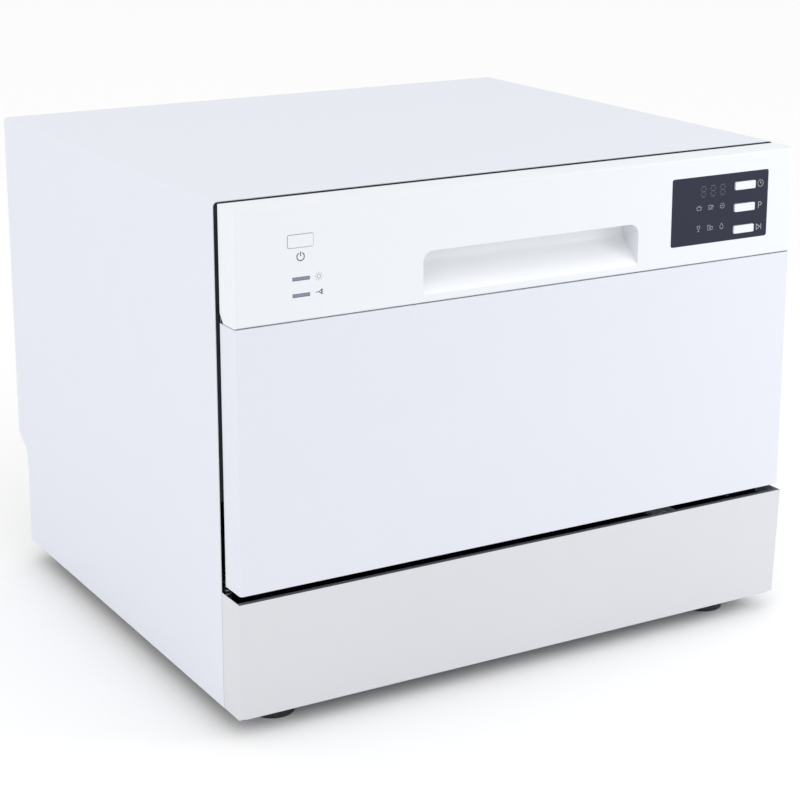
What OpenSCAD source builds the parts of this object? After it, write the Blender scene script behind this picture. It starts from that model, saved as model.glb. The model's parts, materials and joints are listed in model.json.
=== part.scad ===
// Countertop dishwasher with a drop-down door, a rolling wire rack and a full wash system.
// Millimetres. X is right as seen from the front, minus Y is the front, Z is up.
// The origin is at floor level in the middle of the footprint.

/* [Overall size] */
// width over the two cabinet sides
body_w = 550; // [470:1:660]
// depth from the kick plate to the rear edge
body_d = 500; // [440:1:600]
// height from the counter to the top sheet
body_h = 438; // [390:1:526]
// height of the feet under the cabinet
foot_h = 18; // [14:1:24]

/* [Cabinet] */
// thickness of the painted steel sheet
sheet = 0.8; // [0.7:0.1:1.4]
// outside radius of the two long bends of the wrap
bend_r = 4; // [3:0.5:8]
// height of the kick plate
kick_h = 101; // [90:1:121]
// how far the kick plate leans back at its lower edge
kick_lean = 5; // [0:0.5:8]
// distance from the front plane to the front edge of the wrap
wrap_set = 33; // [32:0.5:36]
// distance from the front edge of the wrap back to its inner lips
lip_set = 8; // [6:0.5:8]
// depth of the step at the lower rear edge
step_d = 22; // [16:1:28]
// height of the start of the step above the cabinet edge
step_h = 109; // [95:1:120]

/* [Door] */
// open slot between the kick plate and the door
door_gap = 6; // [5:0.5:9]
// height of the control fascia
fascia_h = 94; // [88:1:113]
// wall of the moulded fascia
fascia_t = 2.5; // [2:0.1:3]
// cut at the lower rear corner of each fascia side
fascia_cut = 6; // [4:0.5:7.5]
// width of the handle opening
handle_w = 212; // [170:1:250]
// height of the handle opening
handle_h = 38; // [32:1:42]
// seam between the fascia and the lower panel
seam = 0.6; // [0.4:0.1:1]

/* [Controls] */
// width of the dark display window
window_w = 105; // [100:1:112]
// height of the dark display window
window_h = 59.5; // [56:0.5:66]
// width of a button cap
button_w = 22; // [18:0.5:24]
// height of a button cap in the window
button_h = 7; // [6:0.5:8.5]
// button travel
button_travel = 1; // [0.8:0.1:1.2]

/* [Tub and rack] */
// space between the cabinet side and the inside of the tub
tub_side = 35; // [34:1:42]
// inside corner radius of the tub
tub_r = 12; // [8:1:24]
// rack wire
wire_d = 3; // [2.5:0.1:3.6]
// rack rim wire
rim_d = 5; // [4:0.1:5.4]
// height of the rack sides
rack_h = 68; // [57:1:81]
// rack wheel diameter
wheel_d = 15.2; // [12.7:0.1:18.2]
// radius swept by the spray arm
arm_reach = 185; // [155:1:190]

/* [Fits] */
// radial running clearance of pins in their bores
pin_gap = 0.06; // [0.03:0.01:0.1]
// clearance around sliding pieces
slide_gap = 0.4; // [0.35:0.05:0.6]

/* [Hidden] */
$fn = 64;
xo = body_w / 2;
xi = xo - sheet;
yf = -body_d / 2;
yb = body_d / 2;
yw = yf + wrap_set;
zc = foot_h;
zt = body_h;
zk = zc + kick_h;
// door levels
xd = xi - 1.2;
yd = yf + 1.5;
yr = yf + 28.5;
zd = zk + door_gap;
ztd = zt - 1;
zs = ztd - fascia_h;
// hinge axis
ya = yf + 25;
za = zd + 23;
// liner, seal and tub planes
yl = ya + 12;
yt = ya + 17;
xl = xo - 20;
tz0 = za + 12;
tz1 = zt - 22;
tx = xo - tub_side;
tub_t = 0.8;
tyb = yb - 32;
flange_w = 16;
side_z0 = tz0 + tub_r;
side_z1 = tz1 - tub_r;
zl1 = tz1 + 10;
lip_z = za + 44;
// rear step
y_low = yb - step_d;
z_st1 = zc + step_h;
z_st0 = z_st1 - 20;
rear_set = 2.4;
y_rb = y_low - rear_set;
// hinge hardware
arm_x0 = xo - 17.5;
arm_x1 = xo - 15;
brk_x0 = xo - 11;
brk_x1 = xo - 8.5;
hinge_pin = 6;
tail_y = 32;
tail_z = -6;
spring_z0 = zc + 22;
// wash system
cx = 0;
cy = 5;
sump_r = 97;
sump_z0 = tz0 - 48;
floor_t = 2.5;
pump_r = (sump_z0 - zc - floor_t - 2) / 2;
pump_z = zc + floor_t + 1 + pump_r;
filt_x = 60;
heat_r = 132;
heat_a = 10;
heat_d = 10;
filt_d = 58;
hub_d = 20;
arm_z = tz0 + 14;
// rack
rz = za + 47.5;
rx = tx - 24;
ry0 = ya + 37;
ry1 = tyb - 32;
wheel_z = rz - 1.5;
wheel_w = 6;
axle_d = 4;
wheel_x = tx - 7;
wheel_yf = -60;
wheel_yr = 130;
rail_t = 1.5;
rail_leg = min(6, wheel_z - wheel_d / 2 - slide_gap - side_z0);
rack_r = 16;
basket_in = 8;
basket_t = 2;
tine_y = ry0 + 60;
tine_p = 26;
rim_z = rz + rack_h;
shelf_z = rz + (tz1 - rz) * 0.5;
shelf_w = min(90, tz1 - shelf_z - 20);
shelf_y0 = -45;
shelf_y1 = 115;
shelf_x = -rx + 10;
row_n = 2 * floor(rx / 36) - 1;
row_p = 2 * (rx - 36) / (row_n - 1);
// dispenser
disp_h = 110;
disp_drop = 13;
dz1 = zs - disp_drop;
dz0 = dz1 - disp_h;
yp = yl + 2.5;
cup_x0 = -60;
cup_x1 = 2;
lid_x0 = -63;
lid_x1 = 5;
cap_x = 42;
cap_z = dz0 + 36;
// control positions
win_x = xo - 82;
win_z = zs + fascia_h / 2 + 0.5;
btn_x = win_x + 26.3;
btn_p = 19.4;
pow_x = -xo + 59;
pow_z = zs + 64.2;
pow_h = 10;
lens_x = -xo + 59.3;
lens_z1 = zs + 34.2;
lens_z2 = zs + 21;
board_y = yd + 10.5;
// latch
strike_z = zt - 9.5;
strike_h = 4;
pawl_y = yd + 8.6;
pawl_z = strike_z - 4.5;
// rear ports
inlet_x = -170;
inlet_z = zc + 50;
gland_x = -100;
gland_z = zc + 50;
drain_x = 135;
drain_z = zc + 62;
drain_top = tz0 - 30;
inlet_od = 26.4;
drain_od = 19;

// plain box between two corners
module slab(x0, x1, y0, y1, z0, z1) {
    translate([x0, y0, z0])
        cube([x1 - x0, y1 - y0, z1 - z0]);
}

// flat rectangle between two corners
module rect(x0, x1, y0, y1) {
    translate([x0, y0])
        square([x1 - x0, y1 - y0]);
}

// rectangle with four round corners
module soft_rect(x0, x1, y0, y1, r) {
    rect(x0 + r, x1 - r, y0, y1);
    rect(x0, x1, y0 + r, y1 - r);
    for (x = [x0 + r, x1 - r])
        for (y = [y0 + r, y1 - r])
            translate([x, y])
                circle(r = r);
}

// rectangle with two round corners on its upper side
module arch_rect(x0, x1, y0, y1, r) {
    rect(x0 + r, x1 - r, y0, y1);
    rect(x0, x1, y0, y1 - r);
    for (x = [x0 + r, x1 - r])
        translate([x, y1 - r])
            circle(r = r);
}

// plate drawn in X and Z, thick along Y
module plate_xz(y0, y1) {
    translate([0, y1, 0])
        rotate([90, 0, 0])
            linear_extrude(y1 - y0)
                children();
}

// plate drawn in Y and Z, thick along X
module plate_yz(x0, x1) {
    translate([x0, 0, 0])
        rotate([90, 0, 90])
            linear_extrude(x1 - x0)
                children();
}

// plate drawn in X and Y, thick along Z
module plate_xy(z0, z1) {
    translate([0, 0, z0])
        linear_extrude(z1 - z0)
            children();
}

// round bars along the three axes
module rod_x(x0, x1, y, z, d) {
    translate([x0, y, z])
        rotate([0, 90, 0])
            cylinder(d = d, h = x1 - x0);
}

module rod_y(x, y0, y1, z, d) {
    translate([x, y1, z])
        rotate([90, 0, 0])
            cylinder(d = d, h = y1 - y0);
}

module rod_z(x, y, z0, z1, d) {
    translate([x, y, z0])
        cylinder(d = d, h = z1 - z0);
}

// the same thing on both sides
module both() {
    children();
    mirror([1, 0, 0])
        children();
}

// closed wire loop with round corners, flat in X and Y
module wire_loop(x0, x1, y0, y1, z, r, d) {
    rod_x(x0 + r, x1 - r, y0, z, d);
    rod_x(x0 + r, x1 - r, y1, z, d);
    rod_y(x0, y0 + r, y1 - r, z, d);
    rod_y(x1, y0 + r, y1 - r, z, d);
    loop_bends(x0, x1, y0, y1, z, r, d);
}

// the four bends of such a loop
module loop_bends(x0, x1, y0, y1, z, r, d) {
    corner_at(x1 - r, y1 - r, z, r, d, 0);
    corner_at(x0 + r, y1 - r, z, r, d, 90);
    corner_at(x0 + r, y0 + r, z, r, d, 180);
    corner_at(x1 - r, y0 + r, z, r, d, 270);
}

module corner_at(x, y, z, r, d, a) {
    translate([x, y, z])
        rotate([0, 0, a])
            rotate_extrude(angle = 90)
                translate([r, 0])
                    circle(d = d);
}

// soft step between two depths, from low to high
function step_pts(y0, y1, z0, z1) =
    [for (i = [0:12]) [y0 + (y1 - y0) * (0.5 - 0.5 * cos(180 * i / 12)), z0 + (z1 - z0) * i / 12]];

// wound wire as one tube standing along Z
function coil_pts(r, w, h, turns, steps) =
    [for (i = [0:turns * steps], j = [0:5])
        let (a = 360 * i / steps, b = 60 * j, q = r + w * cos(b))
        [q * cos(a), q * sin(a), h * i / (turns * steps) + w * sin(b)]];

function coil_sides(n) =
    [for (i = [0:n - 1], j = [0:5])
        [i * 6 + j, i * 6 + (j + 1) % 6, (i + 1) * 6 + (j + 1) % 6, (i + 1) * 6 + j]];

module coil(r, w, h, turns) {
    n = turns * 8;
    polyhedron(
        points = coil_pts(r, w, h, turns, 8),
        faces = concat([[5, 4, 3, 2, 1, 0]], coil_sides(n), [[for (j = [0:5]) n * 6 + j]])
    );
}

// painted sheet over the top and both sides
module outer_wrap() {
    color("#e6e9f1") {
        difference() {
            plate_xz(yw, yb)
                difference() {
                    arch_rect(-xo, xo, zc, zt, bend_r);
                    arch_rect(-xi, xi, zc - 1, zt - sheet, bend_r - sheet);
                }
            plate_yz(-xo - 1, xo + 1)
                polygon(concat([[yb + 5, zc - 2], [y_low, zc - 2]], step_pts(y_low, yb, z_st0, z_st1),
                    [[yb + 5, z_st1]]));
        }
        both()
            slab(xi - 11, xi, yw + lip_set, yw + lip_set + sheet, lip_z, zt - sheet - 2);
        slab(-xi + 4, xi - 4, yw + lip_set, yw + lip_set + sheet, zt - 5, zt - sheet);
    }
}

// rear sheet with its set-back lower part, ports and air slots
module rear_panel() {
    outer = step_pts(y_rb, yb - rear_set, z_st0, z_st1);
    inner = [for (i = [12:-1:0]) [outer[i][0] - sheet, outer[i][1]]];
    color("#c9ccd3")
        difference() {
            intersection() {
                plate_yz(-xi, xi)
                    polygon(concat([[y_rb, zc]], outer, [[yb - rear_set, zt - sheet],
                        [yb - rear_set - sheet, zt - sheet]], inner, [[y_rb - sheet, zc]]));
                plate_xz(y_rb - 5, yb)
                    arch_rect(-xi, xi, zc, zt - sheet, bend_r);
            }
            rod_y(inlet_x, y_rb - 5, y_rb + 5, inlet_z, inlet_od + 0.4);
            rod_y(gland_x, y_rb - 5, y_rb + 5, gland_z, 16.4);
            rod_y(drain_x, y_rb - 5, y_rb + 5, drain_z, drain_od + 0.4);
            for (x = [-180:30:180])
                plate_xz(yb - 10, yb) {
                    rect(x - 3, x + 3, z_st1 + 33, z_st1 + 87);
                    for (z = [z_st1 + 33, z_st1 + 87])
                        translate([x, z])
                            circle(r = 3);
                }
        }
}

// moulded tray that carries everything
module base_frame() {
    y0 = yf + 12;
    y1 = y_rb - sheet;
    wall = 2.5;
    h = zk - 11;
    color("#3a3d44") {
        difference() {
            slab(-xi, xi, y0, y1, zc, h);
            slab(-xi + wall, xi - wall, y0 + wall, y1 - wall, zc + floor_t, h + 1);
            rod_y(inlet_x, y1 - 10, y1 + 1, inlet_z, inlet_od + 0.4);
            rod_y(gland_x, y1 - 10, y1 + 1, gland_z, 16.4);
            rod_y(drain_x, y1 - 10, y1 + 1, drain_z, drain_od + 0.4);
            for (x = [-150:60:150])
                slab(x - 20, x + 20, -160, -150, zc - 1, zc + floor_t + 1);
        }
        for (x = [-200, 200])
            for (y = [ya + 105, tyb - 50])
                slab(x - 12, x + 12, y - 12, y + 12, zc + floor_t - 0.5, tz0 - tub_t);
        for (x = [-110, -60])
            difference() {
                slab(x - 3, x + 3, cy - 38, cy + 38, zc + floor_t - 0.5, pump_z - 8);
                rod_x(x - 5, x + 5, cy, pump_z, 2 * pump_r - 7.6);
            }
        both() {
            slab(brk_x1, xi - 1, ya + 29, ya + 60, zc + 20, h);
            rod_x(arm_x0 - 6, xi - 1, ya + tail_y, spring_z0, 4);
        }
    }
}

// front kick plate with side returns
module kick_plate() {
    t = 1.4;
    color("#dcdee4") {
        plate_yz(-xo, xo)
            polygon([[yf, zk], [yf + 5, zk], [yf + 5, zk - t], [yf + t, zk - t],
                [yf + kick_lean + t, zc], [yf + kick_lean, zc]]);
        both()
            plate_yz(xi, xo)
                polygon([[yf, zk], [yw - 0.3, zk], [yw - 0.3, zc], [yf + kick_lean, zc]]);
        slab(-xi + 5, xi - 5, yf + kick_lean, yf + 26, zc - sheet, zc);
        for (x = [-200, -70, 70, 200])
            slab(x - 12, x + 12, yf + kick_lean - 1, yf + 12, zc + 30, zc + 33);
    }
}

// four feet with rubber pads
module feet() {
    color("#2b2d31")
        for (x = [-xo + 50, xo - 50])
            for (y = [yf + 45, yb - 60])
                translate([x, y, 0]) {
                    cylinder(d = 36, h = 5);
                    translate([0, 0, 4.5])
                        cylinder(d = 14, h = zc - 4.5);
                    translate([0, 0, zc - 5])
                        cylinder(d = 24, h = 5, $fn = 6);
                }
}

// steel frame that ties the tub to the wrap
module front_frame() {
    color("#b4b7bd")
        plate_xz(yt + tub_t, yt + 2 * tub_t)
            difference() {
                arch_rect(-xi, xi, lip_z, zt - sheet, bend_r);
                rect(-tx - tub_t, tx + tub_t, lip_z - 1, tz1 + tub_t);
            }
}

// floor, back and roof of the stainless wash tub, with their strips of the front flange
module tub() {
    color("#c3c7cb")
        difference() {
            union() {
                plate_xz(yt, tyb + tub_t)
                    soft_rect(-tx - tub_t, tx + tub_t, tz0 - tub_t, tz1 + tub_t, tub_r + tub_t);
                plate_xz(yt, yt + tub_t)
                    soft_rect(-tx - flange_w, tx + flange_w, tz0 - 14, tz1 + 11, 12);
                rod_z(-tx + 35, ya + 60, tz0 - 12, tz0 + 2, 12);
            }
            plate_xz(yt - 1, tyb)
                soft_rect(-tx, tx, tz0, tz1, tub_r);
            both()
                slab(tx - 1, tx + flange_w + 1, yt - 1, tyb, side_z0, side_z1);
            rod_z(cx, cy, tz0 - 5, tz0 + 5, 2 * sump_r - 6);
            rod_z(-tx + 35, ya + 60, tz0 - 20, tz0 + 5, 6.6);
            for (a = [heat_a, -heat_a])
                rod_z(cx + heat_r * cos(a), cy + heat_r * sin(a), tz0 - 5, tz0 + 5, heat_d + 0.4);
        }
}

// two side sheets of the wash tub, each with its strip of the front flange
module tub_sides() {
    color("#c3c7cb")
        both() {
            slab(tx, tx + tub_t, yt, tyb, side_z0, side_z1);
            slab(tx, tx + flange_w, yt, yt + tub_t, side_z0, side_z1);
        }
}

// rubber ring between the tub and the door
module door_seal() {
    color("#33363c")
        difference() {
            plate_xz(yt - 4.6, yt)
                difference() {
                    soft_rect(-tx - 10.5, tx + 10.5, tz0 - 8.5, tz1 + 8.5, tub_r + 6);
                    soft_rect(-tx - 1, tx + 1, tz0 - 0.5, tz1 + 0.5, tub_r);
                }
            plate_xz(yt - 4, yt - 1.6)
                difference() {
                    soft_rect(-tx - 7.5, tx + 7.5, tz0 - 5.5, tz1 + 5.5, tub_r + 4);
                    soft_rect(-tx - 4, tx + 4, tz0 - 3.5, tz1 + 3.5, tub_r + 2);
                }
        }
}

// angle strips above and below the rack wheels, with a stop behind them
module rack_rails() {
    h = wheel_d / 2 + slide_gap;
    color("#8f9399")
        both() {
            for (u = [-1, 1]) {
                z = wheel_z + u * h;
                slab(tx - 11, tx, yt + 12, tyb - 18, min(z, z + u * rail_t), max(z, z + u * rail_t));
                slab(tx - rail_t, tx, yt + 12, tyb - 18, min(z, z + u * rail_leg), max(z, z + u * rail_leg));
                for (y = [-120, 0, 100])
                    rod_x(tx - rail_t - 1, tx - 0.2, y, z + u * (rail_leg + rail_t) / 2, rail_leg - 2);
            }
            slab(tx - 9, tx, tyb - 21, tyb - 18, wheel_z - h + 1, wheel_z + h - 1);
        }
}

// basin under the tub floor
module sump() {
    color("#d7d9dc")
        difference() {
            union() {
                rod_z(cx, cy, sump_z0, tz0 - tub_t, 2 * sump_r);
                rod_z(cx, cy, tz0 - tub_t - 2, tz0 - tub_t, 2 * sump_r + 16);
            }
            difference() {
                rod_z(cx, cy, sump_z0 + 3, tz0 + 1, 2 * sump_r - 6);
                rod_z(cx, cy, sump_z0 + 2, sump_z0 + 8, 46);
                rod_z(cx + filt_x, cy, sump_z0 + 2, sump_z0 + 7, filt_d + 7);
            }
            rod_z(cx, cy, sump_z0 - 1, sump_z0 + 9, 24);
            rod_z(cx + filt_x, cy, sump_z0 + 4, sump_z0 + 9, filt_d + 0.8);
        }
}

// perforated plate over the sump
module filter_plate() {
    color("#b9bdc2")
        difference() {
            rod_z(cx, cy, tz0, tz0 + 1.5, 2 * sump_r + 6);
            rod_z(cx, cy, tz0 - 1, tz0 + 3, 40.4);
            rod_z(cx + filt_x, cy, tz0 - 1, tz0 + 3, filt_d + 1);
            for (a = [60:30:300])
                for (r = [36, 58, 80])
                    translate([cx + r * cos(a), cy + r * sin(a), tz0 - 1])
                        cylinder(d = 5, h = 4);
        }
}

// riser and bearing of the spray arm
module spray_hub() {
    color("#9da1a6")
        difference() {
            union() {
                rod_z(cx, cy, sump_z0 + 8, arm_z - 2.4, 40);
                rod_z(cx, cy, arm_z - 2.6, arm_z + 11, hub_d);
                rod_z(cx, cy, arm_z + 10.4, arm_z + 14.5, 28);
            }
            rod_z(cx, cy, sump_z0, arm_z + 9, 14);
        }
}

// heating ring on the tub floor
module heater() {
    color("#7d7f83") {
        translate([cx, cy, tz0 + 6])
            rotate([0, 0, heat_a])
                rotate_extrude(angle = 360 - 2 * heat_a)
                    translate([heat_r, 0])
                        circle(d = 7);
        for (a = [45, 135, 225, 315])
            rod_z(cx + heat_r * cos(a), cy + heat_r * sin(a), tz0, tz0 + 5, 9);
        for (a = [heat_a, -heat_a]) {
            rod_z(cx + heat_r * cos(a), cy + heat_r * sin(a), tz0 - 12, tz0 + 10.5, heat_d);
            rod_z(cx + heat_r * cos(a), cy + heat_r * sin(a), tz0, tz0 + 1.5, 18);
        }
    }
}

// main circulation pump lying on its side
module wash_pump() {
    color("#5b6068") {
        rod_x(-18, 18, cy, pump_z, 2 * pump_r);
        rod_x(-132, -17, cy, pump_z, 2 * pump_r - 8);
        rod_x(-140, -131, cy, pump_z, 30);
        rod_z(cx, cy, pump_z + pump_r - 4, sump_z0 + 8, 23.6);
        rod_x(17, 44, cy, pump_z, 26);
        translate([44, cy, pump_z])
            sphere(d = 26);
        rod_z(44, cy, pump_z, sump_z0, 26);
    }
}

// small pump that empties the sump
module drain_pump() {
    color("#4a4e55") {
        rod_x(sump_r, sump_r + 14, cy, drain_top, 30);
        rod_x(sump_r + 13, sump_r + 62, cy, drain_top, 44);
        rod_y(drain_x, cy + 10, cy + 34, drain_top, 18);
    }
}

// hoses inside the cabinet
module hoses() {
    drain_hose();
    inlet_hose();
}

// hose from the drain pump to the rear outlet
module drain_hose() {
    y0 = cy + 34;
    y1 = tyb - 68;
    drop = drain_top - drain_z - 40;
    color("#6c7178") {
        rod_y(drain_x, y0, y1, drain_top, 20);
        translate([drain_x, y1, drain_top - 20])
            rotate([90, 0, 90])
                rotate_extrude(angle = 90)
                    translate([20, 0])
                        circle(d = 20);
        rod_z(drain_x, y1 + 20, drain_z + 20, drain_z + 20 + drop, 20);
        translate([drain_x, y1 + 40, drain_z + 20])
            rotate([90, 180, 90])
                rotate_extrude(angle = 90)
                    translate([20, 0])
                        circle(d = 20);
        rod_y(drain_x, y1 + 40, y_rb - 12, drain_z, 20);
    }
}

// barbed outlet for the waste hose
module drain_outlet() {
    color("#5d6269") {
        difference() {
            union() {
                rod_y(drain_x, y_rb - 12, y_rb + 21, drain_z, drain_od);
                rod_y(drain_x, y_rb, y_rb + 3, drain_z, 32);
                for (i = [0:2])
                    translate([drain_x, y_rb + 8 + 5 * i, drain_z])
                        rotate([-90, 0, 0])
                            cylinder(d1 = 21, d2 = drain_od, h = 3);
            }
            rod_y(drain_x, y_rb - 13, y_rb + 22, drain_z, 13);
        }
    }
}

// inlet valve with its threaded port
module inlet_valve() {
    color("#e4e2da")
        difference() {
            union() {
                slab(inlet_x - 18, inlet_x + 18, y_rb - 52, y_rb - 20, inlet_z - 22, inlet_z + 27);
                rod_y(inlet_x, y_rb - 21, y_rb + 20, inlet_z, inlet_od);
                rod_y(inlet_x, y_rb, y_rb + 3, inlet_z, 38);
                slab(inlet_x - 14, inlet_x + 14, y_rb - 48, y_rb - 24, zc + floor_t, inlet_z - 20);
            }
            rod_y(inlet_x, y_rb, y_rb + 21, inlet_z, 20);
        }
}

// hose from the valve to the air break chamber
module inlet_hose() {
    y = y_rb - 36;
    z0 = inlet_z + 27;
    z1 = tz0 - 25;
    xs = -xo + 18;
    color("#6c7178") {
        rod_z(inlet_x, y, z0, z1 - 20, 12);
        translate([inlet_x - 20, y, z1 - 20])
            rotate([90, 0, 0])
                rotate_extrude(angle = 90)
                    translate([20, 0])
                        circle(d = 12);
        rod_x(xs + 20, inlet_x - 20, y, z1, 12);
        translate([xs + 20, y, z1 + 20])
            rotate([90, 180, 0])
                rotate_extrude(angle = 90)
                    translate([20, 0])
                        circle(d = 12);
        rod_z(xs, y, z1 + 20, tz0 + 32, 12);
    }
}

// flat air break chamber on the left side of the tub
module air_breather() {
    x0 = -xo + 7;
    x1 = -tx - tub_t - 4.5;
    y1 = y_rb - 26;
    z0 = tz0 + 32;
    z1 = tz1 - 40;
    color("#dfe3e6") {
        difference() {
            slab(x0, x1, -60, y1, z0, z1);
            slab(x0 - 1, x0 + 2, -52, y1 - 8, z0 + 8, z1 - 8);
        }
        for (y = [-45, 30, 105])
            slab(x0, x0 + 3, y, y + 3, z0 + 4, z1 - 4);
        for (y = [-20, y1 - 40])
            rod_x(x1 - 1, -tx - tub_t, y, (z0 + z1) / 2, 30);
    }
}

// strain relief for the mains lead
module cable_gland() {
    color("#26282c") {
        rod_y(gland_x, y_rb - 14, y_rb + 14, gland_z, 16);
        translate([gland_x, y_rb + 5, gland_z])
            rotate([90, 0, 0])
                cylinder(d = 25, h = 5, $fn = 6);
    }
}

// felt mat on the tub
module sound_mat() {
    color("#4d4a46")
        slab(-tx + 40, tx - 40, yt + 30, tyb - 20, tz1 + tub_t, tz1 + tub_t + 5);
}

// housing of the power electronics
module power_box() {
    x0 = tx + tub_t + 3;
    color("#e9e9e4") {
        slab(x0, xo - 8, -60, 90, tz0 + 60, tz0 + 170);
        for (y = [-40, 70])
            for (z = [tz0 + 75, tz0 + 155])
                rod_x(tx + tub_t, x0 + 1, y, z, 10);
    }
}

// fixed catch for the door latch
module latch_strike() {
    color("#a9adb3")
        difference() {
            union() {
                slab(-7, 7, yd + 13, yt + tub_t, strike_z, strike_z + strike_h);
                slab(-14, 14, yt, yt + tub_t, strike_z - 1, strike_z + strike_h + 2);
            }
            slab(-4.5, 4.5, yd + 15.5, yd + 25, strike_z - 1, strike_z + strike_h + 1);
        }
}

// light clamp that shows in the slot under the door
module harness_clamp() {
    h = zk - 11;
    color("#b9bccb")
        difference() {
            slab(145, 171, yf + 9, yf + 40, h - 10, h + 4);
            slab(144, 172, yf + 11.9, yf + 14.6, h - 11, h);
            slab(144, 172, yf + 17, yf + 41, h - 11, h + 1.5);
        }
}

// fixed plates that carry the door pivots
module hinge_brackets() {
    color("#9ea2a8")
        both()
            plate_yz(brk_x0, brk_x1)
                difference() {
                    union() {
                        translate([ya, za])
                            circle(r = 12);
                        rect(ya, ya + 60, za - 11, za + 12);
                        rect(ya + 30, ya + 60, zc + 30, za + 12);
                    }
                    translate([ya, za])
                        circle(r = hinge_pin / 2 + pin_gap);
                }
}

// tension springs that balance the door
module door_springs() {
    x = (arm_x0 + arm_x1) / 2;
    y = ya + tail_y;
    z0 = spring_z0 + 12;
    z1 = za + tail_z - 14;
    color("#7f8388")
        for (s = [-1, 1])
            translate([s * x, y, 0]) {
                translate([0, 0, z0])
                    coil(3.4, 0.9, z1 - z0, 22);
                difference() {
                    union() {
                        rod_z(0, 0, z0 - 8, z0 + 2, 5.6);
                        rod_x(-1.5, 1.5, 0, spring_z0, 10);
                        rod_z(0, 0, z1 - 2, za + tail_z - 6, 5.6);
                    }
                    rod_x(-4, 4, 0, spring_z0, 4.2);
                }
            }
}

// pan head screws of the rear sheet and of the lower flange of the kick plate
module cabinet_screws() {
    y = yb - rear_set;
    color("#8b8f95") {
        for (x = [-xi + 12, -130, 0, 130, xi - 12])
            for (z = [z_st1 + 12, zt - 14])
                rod_y(x, y, y + 2, z, 7);
        for (x = [-180, -60, 60, 180])
            rod_z(x, yf + 19, zc - sheet - 2, zc - sheet, 7);
    }
}

// painted front sheet of the door
module door_panel() {
    color("#e4e8f2") {
        plate_xy(zd, zs)
            difference() {
                union() {
                    soft_rect(-xd, xd, yd, yr - 4, 2.5);
                    rect(-xd, xd, yd + 5, yr);
                }
                union() {
                    soft_rect(-xd + sheet, xd - sheet, yd + sheet, yr, 1.3);
                    rect(-xd + sheet, xd - sheet, yd + 6, yr + 1);
                }
            }
        slab(-xd + 2, xd - 2, yd + 0.6, yd + 8.5, zd, zd + sheet);
        slab(-xd + 2, xd - 2, yd + 0.6, yd + 12, zs - sheet, zs);
    }
}

// handle pocket, drawn in Y and Z, with a soft run from the face to its back
module pocket_side(g) {
    y1 = yd + 23 + g;
    polygon(concat([[yd - 1, zs + 5 - g]], step_pts(yd, y1, zs + 5 - g, zs + handle_h - 6 - g),
        [[y1, zs + 5 + handle_h + g], [yd - 1, zs + 5 + handle_h + g]]));
}

// moulded fascia with the handle pocket
module control_fascia() {
    hw = handle_w / 2;
    zh = zs + 5 + handle_h;
    color("#f3f5f9")
        difference() {
            union() {
                difference() {
                    intersection() {
                        plate_xy(zs + seam, ztd) {
                            soft_rect(-xd, xd, yd, yr - 4, 3);
                            rect(-xd, xd, yd + 5, yr);
                        }
                        plate_yz(-xd, xd) {
                            soft_rect(yd, yr - fascia_cut - 2, zs + seam, ztd, 2);
                            polygon([[yd + 5, zs + seam], [yr - fascia_cut, zs + seam],
                                [yr, zs + seam + fascia_cut * 1.3], [yr, ztd], [yd + 5, ztd]]);
                        }
                    }
                    slab(-xd + fascia_t, xd - fascia_t, yd + fascia_t, yr + 1, zs + 3.5, ztd - fascia_t);
                }
                slab(-xd + 6, xd - 6, yd + 4, yd + 11, zs, zs + 1.5);
                intersection() {
                    plate_yz(-hw - 2, hw + 2)
                        pocket_side(2);
                    slab(-hw - 3, hw + 3, yd, yr, zs + seam, ztd - 3);
                }
                slab(-hw - 2, hw + 2, yd + 1, yd + 25, zh - 4, zh + 13);
                for (x = [win_x - 48, win_x + 48])
                    for (z = [win_z - 34, win_z + 34])
                        rod_y(x, yd + 1, board_y, z, 5);
                for (x = [pow_x - 22, pow_x + 20])
                    for (z = [zs + 14, pow_z + 12])
                        rod_y(x, yd + 1, board_y, z, 5);
            }
            intersection() {
                plate_yz(-hw, hw)
                    pocket_side(0);
                plate_xz(yd - 2, yr)
                    arch_rect(-hw, hw, zs - 10, zh, 9);
            }
            slab(-hw + 2, hw - 2, yd + 4.5, yd + 23, zh - 6, zh + 11);
            plate_xz(yd - 1, yd + 1.3)
                soft_rect(win_x - window_w / 2, win_x + window_w / 2, win_z - window_h / 2,
                    win_z + window_h / 2, 2);
            for (i = [-1:1])
                button_slot(btn_x, win_z + i * btn_p - 1.5, button_h);
            button_slot(pow_x, pow_z, pow_h);
            for (z = [lens_z1, lens_z2])
                slab(lens_x - 7.7, lens_x + 7.7, yd - 1, yd + 4, z - 1.5, z + 1.5);
        }
}

module button_slot(x, z, h) {
    plate_xz(yd - 2, yd + 5)
        soft_rect(x - button_w / 2 - slide_gap, x + button_w / 2 + slide_gap,
            z - h / 2 - slide_gap, z + h / 2 + slide_gap, 1.4);
}

// inner sheet of the door
module door_liner() {
    color("#c6cace")
        difference() {
            union() {
                difference() {
                    plate_xz(yr, yr + 1.5)
                        rect(-xd + 1, xd - 1, za + 22, ztd - 1);
                    slab(-16, 16, yr - 1, yr + 3, zl1 - 1, ztd);
                }
                plate_xz(yr, yl)
                    soft_rect(-xl, xl, za + 2, zl1, 16);
                slab(-xl + 12, xl - 12, yd + sheet, yr + 1, za + 2, za + 3.5);
            }
            plate_xz(yr - 1, yl - 1.5)
                soft_rect(-xl + 1.5, xl - 1.5, za + 3.5, zl1 - 1.5, 14.5);
            slab(-73.8, 73.8, yl - 3, yl + 1, dz0 + 0.2, dz1 - 0.2);
        }
}

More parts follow.
